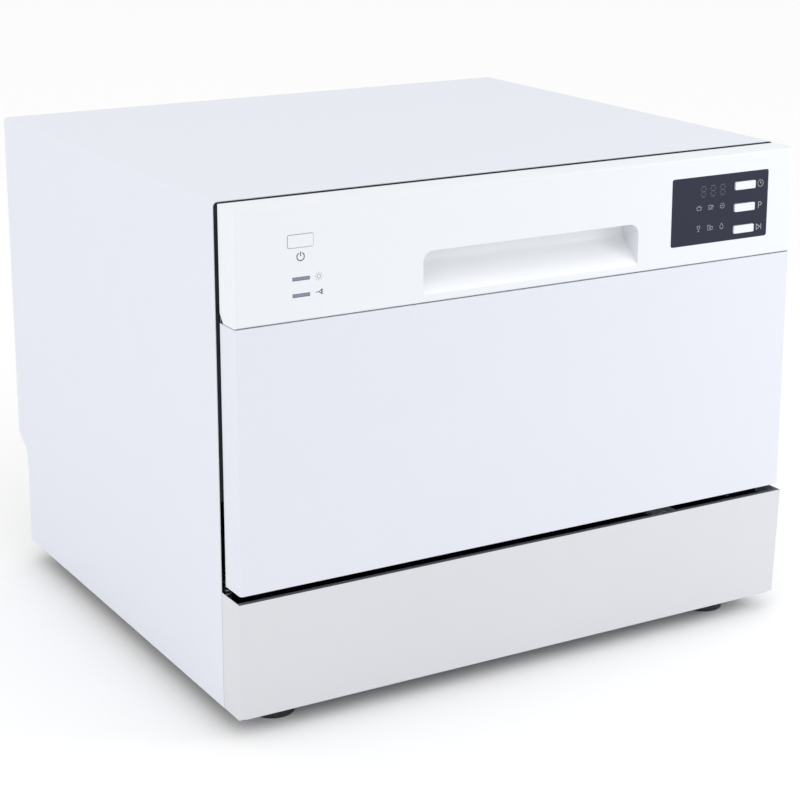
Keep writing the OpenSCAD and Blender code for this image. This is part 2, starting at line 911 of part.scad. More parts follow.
// dark window over the display
module display_window() {
    color("#34353f")
        difference() {
            plate_xz(yd + 0.1, yd + 1.3)
                soft_rect(win_x - window_w / 2 + 0.2, win_x + window_w / 2 - 0.2,
                    win_z - window_h / 2 + 0.2, win_z + window_h / 2 - 0.2, 1.8);
            for (i = [-1:1])
                button_slot(btn_x, win_z + i * btn_p - 1.5, button_h);
        }
}

// light bars of the rinse aid and water signs
module indicator_lenses() {
    color("#9aa0bd") {
        for (z = [lens_z1, lens_z2])
            slab(lens_x - 7.5, lens_x + 7.5, yd + 0.1, yd + 4, z - 1.3, z + 1.3);
        slab(lens_x - 9, lens_x + 9, yd + fascia_t, board_y, zs + 17.5, zs + 38);
    }
}

// two circuit boards behind the fascia
module control_board() {
    color("#2f6b46") {
        slab(win_x - 54, win_x + 54, board_y, board_y + 1.6, win_z - 38, win_z + 38);
        slab(pow_x - 25, pow_x + 23, board_y, board_y + 1.6, zs + 9, pow_z + 16);
        for (i = [-1:1])
            slab(btn_x - 3, btn_x + 3, board_y + 1, board_y + 4, win_z + i * btn_p - 4.5, win_z + i * btn_p + 1.5);
        slab(win_x - 45, win_x - 5, board_y + 1, board_y + 7, win_z - 10, win_z + 20);
    }
}

// housing for detergent and rinse aid
module dispenser_body() {
    color("#aeb3ba")
        difference() {
            union() {
                slab(-73.6, 73.6, yl - 24, yl + 1, dz0 + 0.4, dz1 - 0.4);
                plate_xz(yl, yp)
                    soft_rect(-78, 78, dz0 - 5, dz1 + 5, 6);
                for (x = [lid_x0 - slide_gap - 2.5, lid_x1 + slide_gap])
                    slab(x, x + 2.5, yp - 0.5, yp + 3, dz0 + 4, dz1 - 2);
            }
            plate_xz(yl - 21, yp + 1)
                soft_rect(cup_x0, cup_x1, dz0 + 12, dz0 + 60, 8);
            rod_y(cap_x, yl - 12, yp + 1, cap_z, 22 + 2 * pin_gap);
            slab(cap_x - 8.4, cap_x + 8.4, yl - 8, yp + 1, dz0 + 82 - slide_gap, dz0 + 94 + slide_gap);
        }
}

// latch case behind the fascia
module latch_housing() {
    color("#4b4f57") {
        difference() {
            slab(-30, 30, yd + fascia_t, yr, strike_z - 24, ztd - fascia_t);
            slab(-3.6, 3.6, yd + fascia_t + 1, yr + 1, strike_z - 16, ztd - fascia_t - 1);
            slab(-9, 9, yd + 11, yr + 1, strike_z - 2.5, ztd - fascia_t - 0.6);
        }
        rod_x(-5, 5, pawl_y, pawl_z, 4);
    }
}

// door side plates with pivot pins and spring tails
module hinge_arms() {
    color("#9ea2a8")
        both() {
            plate_yz(arm_x0, arm_x1)
                difference() {
                    union() {
                        translate([ya, za])
                            circle(r = 11);
                        rect(ya - 19, ya - 1, za + 2, za + 112);
                        translate([ya, za])
                            rotate(atan2(tail_z, tail_y))
                                translate([0, -5])
                                    square([sqrt(tail_y * tail_y + tail_z * tail_z), 10]);
                        translate([ya + tail_y, za + tail_z])
                            circle(r = 5);
                    }
                    translate([ya + tail_y, za + tail_z])
                        circle(r = 2);
                }
            rod_x(arm_x1 - 1, brk_x1 + 1.5, ya, za, hinge_pin);
            slab(arm_x1 - 0.5, xd - sheet, ya - 18.5, ya - 16, za + 20, za + 108);
        }
}

// screws that hold the liner to the door
module door_screws() {
    y = yr + 1.5;
    color("#8b8f95") {
        for (x = [-xd + 9, xd - 9])
            for (z = [za + 60, (za + ztd) / 2, ztd - 30])
                rod_y(x, y, y + 1.6, z, 6);
        for (x = [-150, 150])
            rod_y(x, y, y + 1.6, ztd - 5, 5.5);
    }
}

// push button cap with its hidden shoulder and stem
module push_button(x, z, h, up) {
    plate_xz(yd - up, yd + 4.2)
        soft_rect(x - button_w / 2, x + button_w / 2, z - h / 2, z + h / 2, 1);
    slab(x - button_w / 2 - 1.5, x + button_w / 2 + 1.5, yd + 3, yd + 4.2, z - h / 2 - 1.2, z + h / 2 + 1.2);
    rod_y(x, yd + 4, board_y - button_travel - 0.4, z, 4);
}

module power_button() {
    color("#f4f6fa")
        push_button(pow_x, pow_z, pow_h, 0.5);
}

module delay_button() {
    color("#f6f7fa")
        push_button(btn_x, win_z + btn_p - 1.5, button_h, 1.3);
}

module program_button() {
    color("#f6f7fa")
        push_button(btn_x, win_z - 1.5, button_h, 1.3);
}

module start_button() {
    color("#f6f7fa")
        push_button(btn_x, win_z - btn_p - 1.5, button_h, 1.3);
}

// spring pawl of the latch
module latch_pawl() {
    color("#d8dade")
        plate_yz(-3, 3)
            difference() {
                union() {
                    translate([pawl_y, pawl_z])
                        circle(r = 4.6);
                    rect(pawl_y, pawl_y + 15, pawl_z - 3, pawl_z + 1);
                    rect(pawl_y + 11, pawl_y + 15, pawl_z - 3, strike_z - 0.6);
                }
                translate([pawl_y, pawl_z])
                    circle(r = 2 + pin_gap);
            }
}

// sliding lid of the detergent cup
module dispenser_lid() {
    color("#c9cdd3") {
        plate_xz(yp + slide_gap, yp + slide_gap + 2.2)
            soft_rect(lid_x0, lid_x1, dz0 + 9, dz0 + 63, 3);
        slab(lid_x0 + 14, lid_x1 - 14, yp + slide_gap + 2, yp + slide_gap + 4.4, dz0 + 13, dz0 + 16);
    }
}

// push latch of the detergent cup
module dispenser_latch() {
    color("#4d525b")
        plate_xz(yl - 4, yp + 4)
            soft_rect(cap_x - 8, cap_x + 8, dz0 + 82, dz0 + 94, 2);
}

// screw cap of the rinse aid tank
module rinse_cap() {
    color("#4d6fae") {
        rod_y(cap_x, yl - 11, yp + 1, cap_z, 22);
        rod_y(cap_x, yp + slide_gap, yp + 3.4, cap_z, 34);
        slab(cap_x - 13, cap_x + 13, yp + 3, yp + 7, cap_z - 2, cap_z + 2);
    }
}

// floor grid of the rolling wire rack, with the axles of its wheels and the four bends of its rim
module dish_rack() {
    color("#d9dde2") {
        wire_loop(-rx, rx, ry0, ry1, rz, rack_r, 4);
        loop_bends(-rx, rx, ry0, ry1, rim_z, rack_r, rim_d);
        for (i = [0:row_n - 1])
            rod_y(-rx + 36 + i * row_p, ry0, ry1, rz, wire_d);
        for (y = [tine_y - tine_p / 2 : 2 * tine_p : ry1 - 10])
            rod_x(-rx, rx, y, rz + 2.6, wire_d);
        both()
            for (y = [wheel_yf, wheel_yr]) {
                rod_x(rx - 38, tx - 2.8, y, wheel_z, axle_d);
                rod_x(tx - 3.6, tx - 2.6, y, wheel_z, 7);
                rod_x(wheel_x - wheel_w / 2 - 3, wheel_x - wheel_w / 2 - 0.4, y, wheel_z, 7);
            }
    }
}

// side walls of the rack, the left one with the eyes of the cup shelf
module rack_sides() {
    color("#d9dde2") {
        for (x = [-rx, rx]) {
            rod_y(x, ry0 + rack_r, ry1 - rack_r, rim_z, rim_d);
            for (y = [ry0 + 32:52:ry1 - 20])
                rod_z(x, y, rz + 2, rim_z, wire_d);
        }
        for (y = [-20, 90]) {
            rod_z(-rx + 3, y, rim_z, shelf_z, 4);
            difference() {
                rod_y(shelf_x, y - 2, y + 2, shelf_z, 13);
                rod_y(shelf_x, y - 3, y + 3, shelf_z, 4 + 2 * pin_gap);
            }
        }
    }
}

// front and rear walls of the rack
module rack_ends() {
    color("#d9dde2")
        for (y = [ry0, ry1]) {
            rod_x(-rx + rack_r, rx - rack_r, y, rim_z, rim_d);
            for (x = [-rx + 36 : row_p * 2 : rx - 30])
                rod_z(x, y, rz + 2, rim_z, wire_d);
        }
}

// two rows of tines between which the plates stand
module plate_tines() {
    color("#d9dde2")
        for (k = [1, 4])
            for (i = [0:10])
                tine(-rx + 36 + k * row_p, tine_y + i * tine_p, 56.5);
}

module tine(x, y, h) {
    z = rz + wire_d / 2;
    rod_z(x, y, z, z + h, wire_d);
    translate([x, y, z + h])
        sphere(d = wire_d);
}

// corners of the cutlery basket that stands in the rack: [low, high] along each axis
basket = [[rx - basket_in - 130, rx - basket_in], [ry0 + basket_in, ry0 + basket_in + 90],
    [rz + 2.6 + wire_d / 2, rz + 100.6 + wire_d / 2]];
basket_xm = (basket[0][0] + basket[0][1]) / 2;
basket_ym = (basket[1][0] + basket[1][1]) / 2;

// floor, ends and cross wall of the cutlery basket
module cutlery_basket() {
    x0 = basket[0][0];
    y0 = basket[1][0] + basket_t;
    y1 = basket[1][1] - basket_t;
    z0 = basket[2][0];
    color("#aab0b8")
        difference() {
            union() {
                slab(x0, basket[0][1], y0, y1, z0, z0 + basket_t);
                for (x = [x0, basket_xm - basket_t / 2, basket[0][1] - basket_t])
                    slab(x, x + basket_t, y0, y1, z0, basket[2][1]);
            }
            for (u = [-1, 1])
                for (i = [0:6])
                    slab(basket_xm + u * 8 * (i + 1) - 1.6, basket_xm + u * 8 * (i + 1) + 1.6, y0 + 4, y1 - 4,
                        z0 - 1, z0 + basket_t + 1);
        }
}

// slotted long walls and the middle wall of the cutlery basket
module basket_walls() {
    z0 = basket[2][0];
    z1 = basket[2][1];
    color("#aab0b8") {
        for (y = [basket[1][0], basket[1][1] - basket_t])
            difference() {
                slab(basket[0][0], basket[0][1], y, y + basket_t, z0, z1);
                for (i = [-4:3])
                    for (k = [0, 1])
                        slab(basket_xm + 4 + i * 14, basket_xm + 10 + i * 14, y - 1, y + basket_t + 1,
                            z0 + 10 + k * 44, z0 + 44 + k * 44);
            }
        for (x = [basket[0][0] + basket_t, basket_xm + basket_t / 2])
            slab(x, x + (basket[0][1] - basket[0][0] - 3 * basket_t) / 2, basket_ym - basket_t / 2,
                basket_ym + basket_t / 2, z0 + basket_t, z1 - 6);
    }
}

// folding cup shelf
module cup_shelf() {
    color("#d9dde2") {
        wire_loop(shelf_x, shelf_x + shelf_w, shelf_y0, shelf_y1, shelf_z, 9, 4);
        for (x = [shelf_x + 20 : 18 : shelf_x + shelf_w - 12])
            rod_y(x, shelf_y0, shelf_y1, shelf_z, wire_d);
        for (y = [5, 35, 65])
            rod_x(shelf_x + 19, shelf_x + shelf_w - 0.5, y, shelf_z + 2.4, wire_d);
    }
}

// one rack wheel
module rack_wheel(x, y) {
    color("#787c83")
        difference() {
            rod_x(x - wheel_w / 2, x + wheel_w / 2, y, wheel_z, wheel_d);
            rod_x(x - wheel_w, x + wheel_w, y, wheel_z, axle_d + 2 * pin_gap);
        }
}

module wheel_front_left() {
    rack_wheel(-wheel_x, wheel_yf);
}

module wheel_front_right() {
    rack_wheel(wheel_x, wheel_yf);
}

module wheel_rear_left() {
    rack_wheel(-wheel_x, wheel_yr);
}

module wheel_rear_right() {
    rack_wheel(wheel_x, wheel_yr);
}

// one half of the spray arm, drawn flat
module arm_half() {
    polygon([[0, -20], [60, -17], [arm_reach - 30, -12], [arm_reach - 12, -9], [arm_reach - 6, -4],
        [arm_reach - 6, 6], [arm_reach - 14, 12], [arm_reach - 50, 16], [60, 19], [0, 20]]);
}

// rotating spray arm
module spray_arm() {
    color("#a5aab1")
        translate([cx, cy, 0])
            difference() {
                union() {
                    for (a = [0, 180])
                        rotate([0, 0, a])
                            plate_xy(arm_z, arm_z + 8)
                                arm_half();
                    rod_z(0, 0, arm_z - 2, arm_z + 10, 44);
                    for (a = [0, 180])
                        rotate([0, 0, a])
                            for (x = [50, 85, 120, 155])
                                translate([x, 2, arm_z + 7.5])
                                    cylinder(d1 = 10, d2 = 6, h = 2);
                }
                rod_z(0, 0, arm_z - 5, arm_z + 15, hub_d + 2 * pin_gap);
                for (a = [0, 180])
                    rotate([0, 0, a])
                        for (x = [50, 85, 120, 155])
                            translate([x, 2, arm_z + 4])
                                cylinder(d = 2.6, h = 8);
            }
}

// twist-out micro filter
module micro_filter() {
    x = cx + filt_x;
    color("#7e848c")
        difference() {
            union() {
                rod_z(x, cy, sump_z0 + 4.4, tz0 + 2.6, filt_d);
                slab(x - 20, x + 20, cy - 3, cy + 3, tz0 + 2, tz0 + 8);
            }
            difference() {
                rod_z(x, cy, sump_z0 + 7, tz0 + 3, filt_d - 5);
                slab(x - 30, x + 30, cy - 3, cy + 3, tz0 - 2, tz0 + 9);
            }
        }
}

// overflow float
module float_dome() {
    x = -tx + 35;
    y = ya + 60;
    color("#e8e8e4")
        difference() {
            union() {
                rod_z(x, y, tz0 + 2.5, tz0 + 13, 34);
                translate([x, y, tz0 + 13])
                    cylinder(d1 = 34, d2 = 24, h = 4);
                rod_z(x, y, tz0 - 26, tz0 + 8, 6.2);
                rod_z(x, y, tz0 - 28, tz0 - 24, 12);
            }
            difference() {
                rod_z(x, y, tz0 + 2, tz0 + 11, 30);
                rod_z(x, y, tz0, tz0 + 12, 6.2);
            }
        }
}

outer_wrap();
rear_panel();
base_frame();
kick_plate();
feet();
front_frame();
tub();
tub_sides();
door_seal();
rack_rails();
sump();
filter_plate();
spray_hub();
heater();
wash_pump();
drain_pump();
hoses();
drain_outlet();
inlet_valve();
air_breather();
cable_gland();
sound_mat();
power_box();
latch_strike();
harness_clamp();
hinge_brackets();
door_springs();
cabinet_screws();
door_panel();
control_fascia();
door_liner();
display_window();
indicator_lenses();
control_board();
dispenser_body();
latch_housing();
hinge_arms();
door_screws();
power_button();
delay_button();
program_button();
start_button();
latch_pawl();
dispenser_lid();
dispenser_latch();
rinse_cap();
dish_rack();
rack_sides();
rack_ends();
plate_tines();
cutlery_basket();
basket_walls();
cup_shelf();
wheel_front_left();
wheel_front_right();
wheel_rear_left();
wheel_rear_right();
spray_arm();
micro_filter();
float_dome();
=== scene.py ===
"""Looks of a countertop dishwasher, laid out as a Blender add-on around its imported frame."""

import json
import math

import bmesh
import bpy
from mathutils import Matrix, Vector


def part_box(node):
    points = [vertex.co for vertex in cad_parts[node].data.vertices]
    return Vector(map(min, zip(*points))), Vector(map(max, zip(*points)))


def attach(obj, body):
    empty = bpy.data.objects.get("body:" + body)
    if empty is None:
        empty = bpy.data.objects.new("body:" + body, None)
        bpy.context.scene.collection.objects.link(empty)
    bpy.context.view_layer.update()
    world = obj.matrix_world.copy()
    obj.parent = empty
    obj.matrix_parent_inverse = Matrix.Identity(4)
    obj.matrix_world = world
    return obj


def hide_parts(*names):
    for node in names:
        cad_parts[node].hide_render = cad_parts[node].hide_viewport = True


bl_info = {
    "name": "Countertop dishwasher",
    "version": (1, 0, 0),
    "blender": (4, 5, 0),
    "location": "3D View > Sidebar > Dishwasher",
    "description": "Dresses the fixed frame of a countertop dishwasher with finishes and detail",
    "category": "Object",
}

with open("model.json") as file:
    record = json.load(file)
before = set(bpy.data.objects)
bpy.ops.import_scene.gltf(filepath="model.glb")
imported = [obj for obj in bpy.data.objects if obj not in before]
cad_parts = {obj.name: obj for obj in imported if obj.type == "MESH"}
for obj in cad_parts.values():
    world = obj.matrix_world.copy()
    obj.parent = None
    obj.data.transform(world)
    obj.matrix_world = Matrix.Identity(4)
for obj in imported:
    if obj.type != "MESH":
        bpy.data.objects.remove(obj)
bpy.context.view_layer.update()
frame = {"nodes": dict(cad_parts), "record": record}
BODY_OF = {n: b for b, nodes in frame["record"]["behaviour"]["bodies"].items() for n in nodes}
SLOT_OF = {s["node"]: s["material_slot"] for s in frame["record"]["subparts"]}
MM = 0.001

# Flat walls with many openings, whose faces stay in triangles
PIERCED = ("basket_walls", "cutlery_basket", "dispenser_body")

FASCIA_LO, FASCIA_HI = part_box("control_fascia")
WINDOW_LO, WINDOW_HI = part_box("display_window")
PICTURE_SIDE = 800  # pixels of the square picture
PRINT_SUNK = 0.00004  # how far a print reaches into its face


# Settings that a user would change

def colour(name, description, default):
    return bpy.props.FloatVectorProperty(
        name=name, description=description, subtype="COLOR", size=3, min=0, max=1, default=default)


def length(name, description, default, least=0):
    return bpy.props.FloatProperty(
        name=name, description=description, unit="LENGTH", min=least, default=default)


class PaintSettings(bpy.types.PropertyGroup):
    """Colours of the painted and moulded faces."""

    cabinet: colour("Cabinet paint", "Powder coat of the wrap and the door", (0.70, 0.722, 0.79))
    fascia: colour("Fascia", "Moulded plastic of the control fascia", (0.765, 0.786, 0.822))
    # Painted light: the handle pocket is lighter than the fascia, standing in for front light the
    # stage lacks.
    pocket: colour("Handle pocket", "Lighter finish inside the handle pocket", (0.865, 0.88, 0.905))
    kick: colour("Kick plate", "Paint of the kick plate", (0.645, 0.658, 0.688))
    window: colour("Window", "Dark face of the display window", (0.030, 0.031, 0.052))
    print_grey: colour("Printed signs", "Grey ink of the signs on the fascia", (0.11, 0.115, 0.13))
    light_bar: colour("Light bars", "Unlit light bars on the fascia", (0.215, 0.225, 0.315))


class EdgeSettings(bpy.types.PropertyGroup):
    """Small rounding of sheet and moulded edges."""

    sheet: length("Sheet edges", "Radius on folded sheet edges", 0.0004)
    moulded: length("Moulded edges", "Radius on moulded edges", 0.0005)
    steps: bpy.props.IntProperty(
        name="Steps", description="Faces across each rounded edge", min=1, max=6, default=2)


class SignSettings(bpy.types.PropertyGroup):
    """Printed signs beside the controls."""

    line: length("Line", "Width of a printed line", 0.00055)
    ink: length("Ink height", "Height of the print above its face", 0.00006)
    digit_height: length("Digit height", "Height of a display digit", 0.0088)


class ScrewSettings(bpy.types.PropertyGroup):
    """Pan head screws."""

    radius: length("Head radius", "Radius of a screw head", 0.0035)
    height: length("Head height", "Height of a screw head", 0.0019)
    slot: length("Recess width", "Width of the cross recess", 0.0009)


class PressingSettings(bpy.types.PropertyGroup):
    """Beads pressed into the sheet metal, and the rims of the air slots."""

    width: length("Bead width", "Width of a pressed bead", 0.008)
    height: length("Bead height", "Height of a pressed bead", 0.0013)
    slot_width: length("Slot width", "Width of an air slot", 0.006)
    slot_height: length("Slot height", "Height of an air slot over its round ends", 0.060)
    slot_rim: length("Slot rim", "Radius of the rolled rim of an air slot", 0.0007)


class FittingSettings(bpy.types.PropertyGroup):
    """Water port and basket handle."""

    thread_pitch: length("Thread pitch", "Pitch of the water port thread", 0.001814, 0.0005)
    thread_depth: length("Thread depth", "Depth of the water port thread", 0.00116)
    handle_rod: length("Handle rod", "Thickness of the basket handle", 0.005)


class StageSettings(bpy.types.PropertyGroup):
    """Camera, floor and lights."""

    azimuth: bpy.props.FloatProperty(
        name="Azimuth", description="Camera turn about the part", subtype="ANGLE",
        default=math.radians(-30.091))
    elevation: bpy.props.FloatProperty(
        name="Elevation", description="Camera height angle", subtype="ANGLE",
        default=math.radians(14.741))
    distance: bpy.props.FloatProperty(
        name="Distance", description="Camera distance from its target", unit="LENGTH",
        default=1.942)
    target: bpy.props.FloatVectorProperty(
        name="Target", description="Point that the camera looks at", subtype="XYZ", size=3,
        unit="LENGTH", default=(0.0164, 0.0, 0.257))
    focal_pixels: bpy.props.FloatProperty(
        name="Focal length", description="Focal length in pixels of the square frame",
        default=2061.44)
    shift_pixels: bpy.props.FloatVectorProperty(
        name="Shift", description="Lens shift in pixels", size=2, default=(0.0, -80.0))
    floor: colour("Floor", "Colour of the floor", (0.97, 0.97, 0.97))
    world: bpy.props.FloatProperty(
        name="World", description="Strength of the even surrounding light", min=0, default=1.0)
    key: bpy.props.FloatProperty(
        name="Key", description="Power of the large soft light above the front left",
        subtype="POWER", min=0, default=7.5)
    side: bpy.props.FloatProperty(
        name="Side", description="Power of the soft light on the left side",
        subtype="POWER", min=0, default=3.4)
    front: bpy.props.FloatProperty(
        name="Front", description="Power of the near light at the front right",
        subtype="POWER", min=0, default=1.8)


# Shared shader groups

def new_group(name, inputs, outputs):
    tree = bpy.data.node_groups.new(name, "ShaderNodeTree")
    for kind, label, default in inputs:
        socket = tree.interface.new_socket(label, in_out="INPUT", socket_type=kind)
        if default is not None:
            socket.default_value = default
    for kind, label in outputs:
        tree.interface.new_socket(label, in_out="OUTPUT", socket_type=kind)
    return tree, tree.nodes.new("NodeGroupInput"), tree.nodes.new("NodeGroupOutput")


def join(tree, source, target):
    tree.links.new(source, target)


def maths(tree, operation, a, b=None, clamp=False):
    node = tree.nodes.new("ShaderNodeMath")
    node.operation = operation
    node.use_clamp = clamp
    for i, value in enumerate((a, b)):
        if value is None:
            continue
        if isinstance(value, (int, float)):
            node.inputs[i].default_value = value
        else:
            join(tree, value, node.inputs[i])
    return node.outputs[0]


def noise(tree, vector, scale, detail=2.0, rough=0.5):
    node = tree.nodes.new("ShaderNodeTexNoise")
    join(tree, vector, node.inputs["Vector"])
    for label, value in (("Scale", scale), ("Detail", detail), ("Roughness", rough)):
        if isinstance(value, (int, float)):
            node.inputs[label].default_value = value
        else:
            join(tree, value, node.inputs[label])
    return node.outputs["Fac"]


def edge_wear_group():
    """Mask of the outer edges, broken up by noise."""
    tree, given, out = new_group(
        "Edge wear",
        [("NodeSocketVector", "Vector", None), ("NodeSocketFloat", "Width", 0.001),
         ("NodeSocketFloat", "Amount", 0.5)],
        [("NodeSocketFloat", "Mask")])
    bevel = tree.nodes.new("ShaderNodeBevel")
    bevel.samples = 4
    join(tree, given.outputs["Width"], bevel.inputs["Radius"])
    flat = tree.nodes.new("ShaderNodeNewGeometry")
    dot = tree.nodes.new("ShaderNodeVectorMath")
    dot.operation = "DOT_PRODUCT"
    join(tree, bevel.outputs["Normal"], dot.inputs[0])
    join(tree, flat.outputs["Normal"], dot.inputs[1])
    bent = maths(tree, "SUBTRACT", 1.0, dot.outputs["Value"])
    turned_away = maths(tree, "MULTIPLY", bent, 6.0, clamp=True)
    patchy = maths(tree, "ADD", noise(tree, given.outputs["Vector"], 45.0, 4.0), 0.1)
    broken = maths(tree, "MULTIPLY", turned_away, patchy)
    mask = maths(tree, "MULTIPLY", broken, given.outputs["Amount"], clamp=True)
    join(tree, mask, out.inputs["Mask"])
    return tree


def fine_grain_group():
    """Fine even relief with a slow drift in gloss, as on powder coat and moulded plastic."""
    tree, given, out = new_group(
        "Fine grain",
        [("NodeSocketVector", "Vector", None), ("NodeSocketFloat", "Scale", 900.0),
         ("NodeSocketFloat", "Gloss drift", 0.06)],
        [("NodeSocketFloat", "Height"), ("NodeSocketFloat", "Drift"),
         ("NodeSocketFloat", "Clouds")])
    fine = noise(tree, given.outputs["Vector"], given.outputs["Scale"], 2.0)
    slow = noise(tree, given.outputs["Vector"], 14.0, 3.0)
    join(tree, fine, out.inputs["Height"])
    centred = maths(tree, "SUBTRACT", slow, 0.5)
    join(tree, maths(tree, "MULTIPLY", centred, given.outputs["Gloss drift"]), out.inputs["Drift"])
    join(tree, slow, out.inputs["Clouds"])
    return tree


def brushed_group():
    """Long fine lines along one axis, as on brushed sheet."""
    tree, given, out = new_group(
        "Brushed lines",
        [("NodeSocketVector", "Vector", None), ("NodeSocketFloat", "Density", 1.0)],
        [("NodeSocketFloat", "Height"), ("NodeSocketFloat", "Drift")])
    stretch = tree.nodes.new("ShaderNodeVectorMath")
    stretch.operation = "MULTIPLY"
    join(tree, given.outputs["Vector"], stretch.inputs[0])
    stretch.inputs[1].default_value = (6.0, 900.0, 900.0)
    lines = noise(tree, stretch.outputs["Vector"], given.outputs["Density"], 3.0)
    join(tree, lines, out.inputs["Height"])
    join(tree, maths(tree, "MULTIPLY", maths(tree, "SUBTRACT", lines, 0.5), 0.25),
         out.inputs["Drift"])
    return tree


GROUPS = {}
FINISHES = {}


def shared(name):
    """The shared shader group of that name, built once."""
    if name not in GROUPS:
        makers = {"wear": edge_wear_group, "grain": fine_grain_group, "brushed": brushed_group}
        GROUPS[name] = makers[name]()
    return GROUPS[name]


def place_group(tree, name, **values):
    node = tree.nodes.new("ShaderNodeGroup")
    node.node_tree = shared(name)
    for label, value in values.items():
        node.inputs[label.replace("_", " ")].default_value = value
    return node


def tinted(tree, factor, low, high):
    mix = tree.nodes.new("ShaderNodeMix")
    mix.data_type = "RGBA"
    join(tree, factor, mix.inputs["Factor"])
    mix.inputs["A"].default_value = (*low, 1.0)
    mix.inputs["B"].default_value = (*high, 1.0)
    return mix.outputs["Result"]


def blended(tree, factor, base, high):
    mix = tree.nodes.new("ShaderNodeMix")
    mix.data_type = "RGBA"
    join(tree, factor, mix.inputs["Factor"])
    join(tree, base, mix.inputs["A"])
    mix.inputs["B"].default_value = (*high, 1.0)
    return mix.outputs["Result"]


def shade(color, gain):
    return tuple(min(1.0, c * gain) for c in color)


def finish(name, color, rough=0.4, metal=0.0, grain=900.0, relief=0.00001, wear=0.3,
           wear_color=None,
           variation=0.03, coat=0.0, brushed=False, drift=0.06, specular=0.5):
    """One procedural finish: clouded base colour, edge wear, grain relief and uneven gloss."""
    if name in FINISHES:
        return FINISHES[name]
    mat = bpy.data.materials.new(name)
    mat.use_nodes = True
    tree = mat.node_tree
    bsdf = tree.nodes["Principled BSDF"]
    place = tree.nodes.new("ShaderNodeTexCoord").outputs["Object"]
    bsdf.inputs["Metallic"].default_value = metal
    bsdf.inputs["Coat Weight"].default_value = coat
    bsdf.inputs["Specular IOR Level"].default_value = specular
    relief_node = place_group(tree, "grain", Scale=grain, Gloss_drift=drift)
    join(tree, place, relief_node.inputs["Vector"])
    height = relief_node.outputs["Height"]
    uneven = relief_node.outputs["Drift"]
    if brushed:
        lines = place_group(tree, "brushed")
        join(tree, place, lines.inputs["Vector"])
        height = lines.outputs["Height"]
        uneven = maths(tree, "ADD", relief_node.outputs["Drift"], lines.outputs["Drift"])
    base = tinted(tree, relief_node.outputs["Clouds"],
                  shade(color, 1 - variation), shade(color, 1 + variation))
    if wear > 0:
        edges = place_group(tree, "wear", Width=0.0009, Amount=wear)
        join(tree, place, edges.inputs["Vector"])
        base = blended(tree, edges.outputs["Mask"], base, wear_color or shade(color, 0.82))
    join(tree, base, bsdf.inputs["Base Color"])
    join(tree, maths(tree, "ADD", uneven, rough, clamp=True), bsdf.inputs["Roughness"])
    bump = tree.nodes.new("ShaderNodeBump")
    bump.inputs["Strength"].default_value = 0.6
    bump.inputs["Distance"].default_value = relief
    join(tree, height, bump.inputs["Height"])
    join(tree, bump.outputs["Normal"], bsdf.inputs["Normal"])
    FINISHES[name] = mat
    return mat


